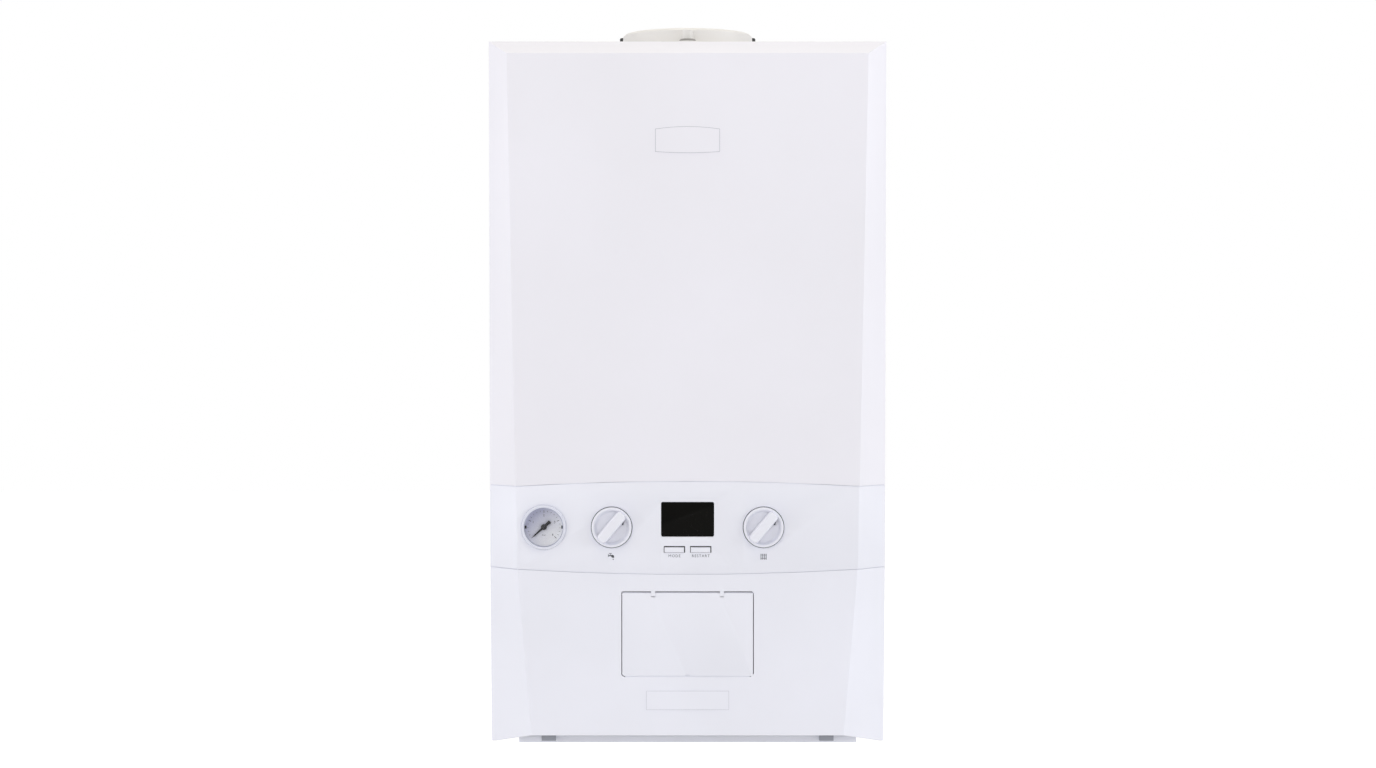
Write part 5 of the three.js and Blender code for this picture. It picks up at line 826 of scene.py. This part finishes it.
def seam_tongues():
    """The fascia's top and bottom edges stand into the joints as thin tongues, behind the outside."""
    for name, side, edge_from in (("upper_tongue", 1, 250), ("lower_tongue", -1, 180)):
        shape = merged_copy("control_fascia")
        limit = place(0, 0, edge_from).z
        away = [
            f for f in shape.faces
            if f.normal.z * side < 0.8 or (f.calc_center_median().z - limit) * side < 0
        ]
        bmesh.ops.delete(shape, geom=away, context="FACES")
        grown = bmesh.ops.extrude_face_region(shape, geom=shape.faces[:])["geom"]
        tips = [part for part in grown if isinstance(part, bmesh.types.BMVert)]
        bmesh.ops.translate(shape, verts=tips, vec=(0, 0, side * (SEAM - 0.1) * MM))
        narrower = 1 - TONGUE_BACK / (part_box("control_fascia")[1].x / MM)
        bmesh.ops.scale(shape, verts=shape.verts, vec=(narrower, 1, 1))
        bmesh.ops.translate(shape, verts=shape.verts, vec=(0, TONGUE_BACK * MM, 0))
        white_trim(tidied(shape), name, "control_fascia")


def flap_rests():
    """What closes the gaps round the flap: a ledge under its foot, a dark strip above it that is painted
    shade in the top gap, covers and sills at its two hinge lugs, and a thin web behind its finger notch."""
    low = FLAP_LOW.z
    ledge = block(
        (FLAP_LOW.x + 3, FLAP_HIGH.x - 3), (FRONT_Y + FLAP_FOOT_BACK, FRONT_Y + 4),
        (low - FLAP_GAP - 0.1, low - 0.1),
    )
    white_trim(ledge, "flap_ledge", "lower_panel")
    # Painted shade: a dark rubber-finished strip in the gap above the flap, so that the gap reads dark.
    strip = block(
        (FLAP_LOW.x, FLAP_HIGH.x), (FRONT_Y + 1.5, FRONT_Y + 2.2), (FLAP_TOP + 0.45, SHADE_STRIP_TOP),
    )
    add_piece(strip, "flap_shade_strip", BODY_OF["lower_panel"], FINISHES["rubber"])
    for name, node, half, y, z in (
        ("lug_covers", "lower_panel", LUG_SLOT_HALF, (0.02, 0.28), (FLAP_TOP - 4.2, SHADE_STRIP_TOP)),
        ("lug_sills", "programmer_flap", LUG_SLOT_HALF + 0.3, (0.3, 1.8), (FLAP_TOP - 5.6, FLAP_TOP - 4.85)),
    ):
        pair = [
            block((x - half, x + half), [FRONT_Y + back for back in y], z) for x in (-LUG_X, LUG_X)
        ]
        white_trim(joined(pair), name, node)
    web = block((-NOTCH_HALF, NOTCH_HALF), (FRONT_Y + 1, FRONT_Y + 1.8), (low + 0.1, low + 3.4))
    white_trim(web, "notch_web", "programmer_flap")


def badge(node, line):
    """A bare plate, with a fine line round its edge."""
    shape = merged_copy(node)
    front = [face for face in shape.faces if face.normal.y < -0.9]
    inset = bmesh.ops.inset_region(shape, faces=front, thickness=line * MM, use_even_offset=True)
    for face in inset["faces"]:
        face.material_index = 1
    carrier = "white_steel" if BODY_OF[node] == "front_panel" else "white_plastic"
    piece = add_piece(shape, f"{node}_lined", BODY_OF[node], FINISHES[carrier], PALE_PRINT)
    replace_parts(piece, node)


# ---------------------------------------------------------------- pipes

PIPE_TURN = math.radians(9)  # the most that one step of a bend turns


def tube(route, radius, wall, bend, sides):
    """A round tube along a route of places, with each corner bent to a radius."""
    shape = bmesh.new()
    points = [place(*corner) for corner in route]
    headings = [(b - a).normalized() for a, b in zip(points, points[1:])]
    turn = Vector((0, 0, 1)).rotation_difference(headings[0]).to_matrix().to_4x4()
    for size in (radius, radius - wall):
        bmesh.ops.create_circle(
            shape, segments=sides, radius=size * MM, matrix=Matrix.Translation(points[0]) @ turn,
        )
    end = bmesh.ops.bridge_loops(shape, edges=shape.edges[:])["faces"]

    def grow(faces):
        grown = bmesh.ops.extrude_face_region(shape, geom=faces)["geom"]
        tips = [part for part in grown if isinstance(part, bmesh.types.BMVert)]
        return [part for part in grown if isinstance(part, bmesh.types.BMFace)], tips

    at = points[0]
    for i, heading in enumerate(headings):
        last = i == len(headings) - 1
        angle = 0 if last else heading.angle(headings[i + 1])
        limit = min((a - b).length for a, b in zip(points[i:], points[i + 1:i + 3])) / 2
        reach = 0 if last else min(bend * MM * math.tan(angle / 2), limit)
        stop = points[i + 1] - heading * reach
        end, tips = grow(end)
        bmesh.ops.translate(shape, verts=tips, vec=stop - at)
        at = stop
        if last:
            break
        inwards = (headings[i + 1] - heading * heading.dot(headings[i + 1])).normalized()
        centre = stop + inwards * (reach / math.tan(angle / 2))
        steps = math.ceil(angle / PIPE_TURN)
        matrix = Matrix.Rotation(angle / steps, 3, heading.cross(headings[i + 1]).normalized())
        for _ in range(steps):
            end, tips = grow(end)
            bmesh.ops.rotate(shape, verts=tips, cent=centre, matrix=matrix)
            at = centre + matrix @ (at - centre)
    return tidied(shape)


TAIL_Y = -100
RISER_Y = -105
TAIL_END = 1
CROSSING_Z = 269.7    # where the return crosses under the sump
FAN_X = -119
VALVE_Y = -186.3
PIPES = {  # node: radius, wall, bend, route
    "flow_pipe": (11, 1.2, 24, ((-95.3, RISER_Y, 520), (-152, RISER_Y, 520), (-152, RISER_Y, 140.3))),
    "return_pipe": (11, 1.2, 22, (
        (105, RISER_Y, 141.3), (105, RISER_Y, CROSSING_Z), (-125, RISER_Y, CROSSING_Z),
        (-125, RISER_Y, 370), (-95.3, RISER_Y, 370),
    )),
    "gas_pipe": (9, 1.2, 14, (
        (0, TAIL_Y, TAIL_END), (0, TAIL_Y, 24), (0, -138, 52), (0, -138, CROSSING_Z - 30),
        (FAN_X, VALVE_Y + 18, CROSSING_Z - 5), (FAN_X, VALVE_Y, CROSSING_Z + 40), (FAN_X, VALVE_Y, 420.3),
    )),
    "hot_water_pipe": (7.5, 1.2, 14, (
        (-65, TAIL_Y, TAIL_END), (-65, TAIL_Y, 20), (-57, -85, 41.7), (-57, -85, 59.7),
    )),
    "cold_water_pipe": (7.5, 1.2, 14, (
        (65, TAIL_Y, TAIL_END), (65, TAIL_Y, 20), (45, -85, 41.7), (45, -85, 59.7),
    )),
    "heating_flow_tail": (11, 1.2, 0, ((-130, TAIL_Y, TAIL_END), (-130, TAIL_Y, 84.7))),
    "heating_return_tail": (11, 1.2, 0, ((130, TAIL_Y, TAIL_END), (130, TAIL_Y, 49.7))),
    "flue_duct": (31.5, 1.5, 45, (
        (128.5, -145, 350), (128.5, -145, 592.6), (0, -140, 662.6), (0, -140, 693.7),
    )),
}
NUTS = (  # foot, head, radius across its corners
    ((-106, RISER_Y, 520), (-97, RISER_Y, 520), 15.5),
    ((-152, RISER_Y, 142), (-152, RISER_Y, 152), 15.5),
    ((105, RISER_Y, 143), (105, RISER_Y, 153), 15.5),
    ((-106, RISER_Y, 370), (-97, RISER_Y, 370), 15.5),
    ((FAN_X, VALVE_Y, 409), (FAN_X, VALVE_Y, 420), 14.5),
    ((-57, -85, 50), (-57, -85, 58.5), 11),
    ((45, -85, 50), (45, -85, 58.5), 11),
    ((-130, TAIL_Y, 73), (-130, TAIL_Y, 83), 15.5),
    ((130, TAIL_Y, 38), (130, TAIL_Y, 48), 15.5),
)


def pipes():
    """The pipes with their bends, and the brass nuts at their joints."""
    for node, (radius, wall, bend, route) in PIPES.items():
        slot = SLOT_OF[node]
        sides = 48 if radius > 20 else 28
        shape = tube(route, radius, wall, bend, sides)
        piece = add_piece(shape, f"{node}_bent", BODY_OF[node], FINISHES[slot])
        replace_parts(piece, node)
    for count, (foot, head, radius) in enumerate(NUTS):
        nut = rod(radius, foot, head, 6)
        round_over(nut, [e for e in nut.edges if turn_of(e) > HARD], 0.8, 2)
        piece = add_piece(nut, f"union_nut_{count}", BODY_OF["flow_pipe"], FINISHES["brass"])
        flat_shading(piece)


# ---------------------------------------------------------------- inside the casing

ROUNDS = {  # node: centre, axis, outline of (radius, distance along the axis)
    "expansion_vessel": ((0, -9.1, 480), (0, -1, 0), (
        (0, 0), (132, 0), (140, 1.6), (146, 6), (149, 12), (150, 19), (150, 31), (151.5, 32), (151.5, 36),
        (150, 37), (150, 49), (149, 56), (146, 62), (140, 66.4), (132, 68), (12, 68), (10, 66), (0, 66),
    )),
    "pump_motor": ((105, -120.3, 95), (0, -1, 0), (
        (0, 0), (42, 0), (42, 5), (41, 6), (37, 6.6), (37, 10), (39, 11), (39, 16), (37.6, 17), (37.6, 20),
        (39, 21), (39, 26), (37.6, 27), (37.6, 30), (39, 31), (39, 49), (37.6, 54), (34, 57.2), (30, 58),
        (13, 58), (12, 57), (0, 57),
    )),
    "diverter_motor": ((-130, -125.3, 112.5), (0, -1, 0), (
        (0, 0), (24, 0), (24, 3), (23, 4), (23, 8), (24, 9), (24, 44), (23.2, 48), (20, 50), (0, 50),
    )),
    "condensate_trap": ((40, -145, 155.4), (0, 0, 1), (
        (0, 0), (18, 0), (20.5, 1), (21.7, 3), (21.7, 14), (20.7, 15), (20.7, 26), (21.7, 27), (21.7, 104),
        (21.7, 130), (20.6, 133), (12, 139), (12, 145), (9, 145), (9, 138), (0, 134),
    )),
}


def rounds():
    """The round bodies, turned from their outlines."""
    for node, (centre, axis, outline) in ROUNDS.items():
        slot = SLOT_OF[node]
        shape = turned(outline, centre, axis, 72)
        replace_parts(add_piece(shape, f"{node}_turned", BODY_OF[node], FINISHES[slot]), node)


def bolt(at, axis, radius, height):
    """A hexagon bolt head on its washer."""
    start = Vector(at)
    along = Vector(axis)
    washer = rod(radius * 1.35, start, start + along * height * 0.3, 24)
    head = rod(radius, start + along * height * 0.25, start + along * height, 6)
    return joined([washer, head])


BOLTS = {  # name: node that carries them, axis, radius, height, places
    "manifold_bolts": ("burner_manifold", (0, 0, 1), 4, 4.5, [
        (x, y, 562) for x in (-82, 0, 82) for y in (-190, -100)
    ]),
    "sump_screws": ("sump", (0, -1, 0), 3, 2.4, [(x, -199.8, 342) for x in (-85, -28, 28, 85, 150)]),
    "exchanger_bolts": ("heat_exchanger", (-1, 0, 0), 4, 5, [
        (-94.8, y, z) for y in (-186, -130) for z in (362, 528)
    ]),
    "valve_screws": ("gas_valve", (0, -1, 0), 2.2, 1.8, [
        (FAN_X + x, -212, z) for x in (-17, 17) for z in (437, 470.6, 504)
    ]),
    "cover_screws": ("pod_housing", (0, 1, 0), 3, 2, [(x, -201.2, z) for x in (-103, 48) for z in (70, 170)]),
}


def bolts():
    for name, (node, axis, radius, height, places) in BOLTS.items():
        heads = [bolt(at, axis, radius, height) for at in places]
        add_piece(joined(heads), name, BODY_OF[node], FINISHES["steel"])


def terminal_box():
    """The pump's wiring box, on top of its motor, with its cable gland."""
    box = block((84, 126), (-172, -132), (130, 152))
    round_over(box, [e for e in box.edges if turn_of(e) > HARD], 3, 4)
    gland = rod(6, (84.5, -152, 141), (76, -152, 141), 20)
    add_piece(joined([box, gland]), "terminal_box", BODY_OF["pump_motor"], FINISHES["black_plastic"])


CHEVRONS = 9
CHEVRON_X = -16     # of the plate's middle
CHEVRON_FOOT = 74   # z of the lowest
CHEVRON_SLOPE = 16  # degrees


def plate_chevrons():
    """The pressed pattern of the plate heat exchanger's front plate."""
    bars = []
    for step in range(CHEVRONS):
        for side in (-1, 1):
            middle = CHEVRON_X + side * 18
            z = CHEVRON_FOOT + step * 6.4
            bar = block((middle - 19, middle + 19), (-110.9, -109.9), (z - 1.2, z + 1.2))
            bars.append(swung(bar, side * CHEVRON_SLOPE, middle, z))
    add_piece(joined(bars), "plate_chevrons", BODY_OF["plate_heat_exchanger"], FINISHES["steel"])


CAP_FOOT = 714.8
CAP_TOP = 720.2


def screw_caps():
    """The turret's screws, under the raised plastic caps that cover their heads."""
    for node in ("turret_screw_left", "turret_screw_right"):
        low, high = box_ends(node)
        middle = ((low.x + high.x) / 2, (low.y + high.y) / 2, 0)
        cap = turned([
            (0, low.z), (2, low.z + 1), (2, CAP_FOOT), (4.2, CAP_FOOT), (4.2, CAP_TOP - 1),
            (3.6, CAP_TOP - 0.1), (0, CAP_TOP),
        ], middle, (0, 0, 1), 40)
        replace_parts(add_piece(cap, f"{node}_capped", BODY_OF[node], FINISHES["black_plastic"]), node)


# ---------------------------------------------------------------- camera, light and floor

PHOTO_WIDTH_PX = 1376
CAMERA_AT = (0.0004, -2.813, -0.227)  # metres
CAMERA_DIP = 0.013                    # radians below level
FOCAL_PX = 2570

FLOOR_DROP = 90    # of the floor below the underside
FLOOR_HALF = 6000
FLOOR_GLOW = 0.45  # what lifts the floor to white where nothing shades it
FLOOR_TONE = 0.85  # of the light that it throws back on the boiler
WORLD_LEVEL = 0.52
LAMPS = (  # name, place in metres, side in metres, watts, colour
    ("key", (-2.4, -3.2, 1.6), 0.8, 14, (1.0, 0.99, 0.98)),
    ("front box", (0.4, -4.4, 0.0), 1.6, 22, (1.0, 0.99, 1.0)),
    ("left box", (-3.0, -1.0, -0.2), 2.0, 28, (0.97, 0.98, 1.0)),
    ("right box", (3.0, -1.0, 0.0), 2.0, 35, (0.96, 0.98, 1.0)),
    ("top box", (0.0, -0.8, 3.2), 2.0, 40, (1.0, 0.94, 0.76)),
)
NOT_MIRRORED = ("front box",)  # it would show in the display
LOOK_AT = (0, -0.14, -0.26)


def set_camera():
    camera = bpy.data.cameras.new("camera")
    camera.lens = FOCAL_PX / PHOTO_WIDTH_PX * camera.sensor_width
    holder = bpy.data.objects.new("camera", camera)
    holder.location = CAMERA_AT
    holder.rotation_euler = (math.pi / 2 - CAMERA_DIP, 0, 0)
    bpy.context.scene.collection.objects.link(holder)
    bpy.context.scene.camera = holder


def hang_lamps():
    for name, at, side, watts, colour in LAMPS:
        lamp = bpy.data.lights.new(name, "AREA")
        lamp.size = side
        lamp.energy = watts
        lamp.color = colour
        holder = bpy.data.objects.new(name, lamp)
        holder.location = at
        holder.visible_glossy = name not in NOT_MIRRORED
        holder.rotation_euler = (Vector(LOOK_AT) - Vector(at)).to_track_quat("-Z", "Y").to_euler()
        bpy.context.scene.collection.objects.link(holder)


def seen_rays(tree):
    """1 for rays that show the surroundings themselves, straight, mirrored or through glass."""
    path = tree.nodes.new("ShaderNodeLightPath")
    total = path.outputs["Is Camera Ray"]
    for output in ("Is Glossy Ray", "Is Transmission Ray"):
        adder = tree.nodes.new("ShaderNodeMath")
        adder.operation = "MAXIMUM"
        tree.links.new(total, adder.inputs[0])
        tree.links.new(path.outputs[output], adder.inputs[1])
        total = adder.outputs[0]
    return total


def fill_world():
    world = bpy.data.worlds.new("studio")
    bpy.context.scene.world = world
    world.use_nodes = True
    tree = world.node_tree
    background = tree.nodes["Background"]
    background.inputs["Color"].default_value = (1, 1, 1, 1)
    level = tree.nodes.new("ShaderNodeMapRange")
    level.inputs["To Min"].default_value = WORLD_LEVEL
    level.inputs["To Max"].default_value = 1
    tree.links.new(seen_rays(tree), level.inputs["Value"])
    tree.links.new(level.outputs[0], background.inputs["Strength"])


def lay_floor():
    material = bpy.data.materials.new("floor")
    material.use_nodes = True
    tree = material.node_tree
    shader = tree.nodes["Principled BSDF"]
    shader.inputs["Roughness"].default_value = 0.9
    tone = tree.nodes.new("ShaderNodeMapRange")
    tone.inputs["To Min"].default_value = FLOOR_TONE
    tone.inputs["To Max"].default_value = 1
    seen = seen_rays(tree)
    tree.links.new(seen, tone.inputs["Value"])
    tree.links.new(tone.outputs[0], shader.inputs["Base Color"])
    glow = tree.nodes.new("ShaderNodeMapRange")
    glow.inputs["To Max"].default_value = FLOOR_GLOW
    tree.links.new(seen, glow.inputs["Value"])
    shader.inputs["Emission Color"].default_value = (1, 1, 1, 1)
    tree.links.new(glow.outputs[0], shader.inputs["Emission Strength"])
    shape = bmesh.new()
    bmesh.ops.create_grid(shape, x_segments=1, y_segments=1, size=FLOOR_HALF * MM)
    bmesh.ops.translate(shape, verts=shape.verts, vec=place(0, 0, -FLOOR_DROP))
    mesh = bpy.data.meshes.new("floor")
    shape.to_mesh(mesh)
    shape.free()
    mesh.materials.append(material)
    floor = bpy.data.objects.new("floor", mesh)
    bpy.context.scene.collection.objects.link(floor)


# ---------------------------------------------------------------- the boiler

bpy.context.scene.view_settings.view_transform = "Standard"
set_camera()
hang_lamps()
fill_world()
lay_floor()
dress_solids()
knobs_and_signs()
dial_print()
gauge_scale()
gauge_bezel()
bold_needle()
button("mode_button")
button("restart_button")
button_shield()
legends()
seam_tongues()
flap_rests()
badge("front_badge_plate", 0.4)
badge("lower_badge_plate", 0.25)
pipes()
rounds()
bolts()
terminal_box()
plate_chevrons()
screw_caps()
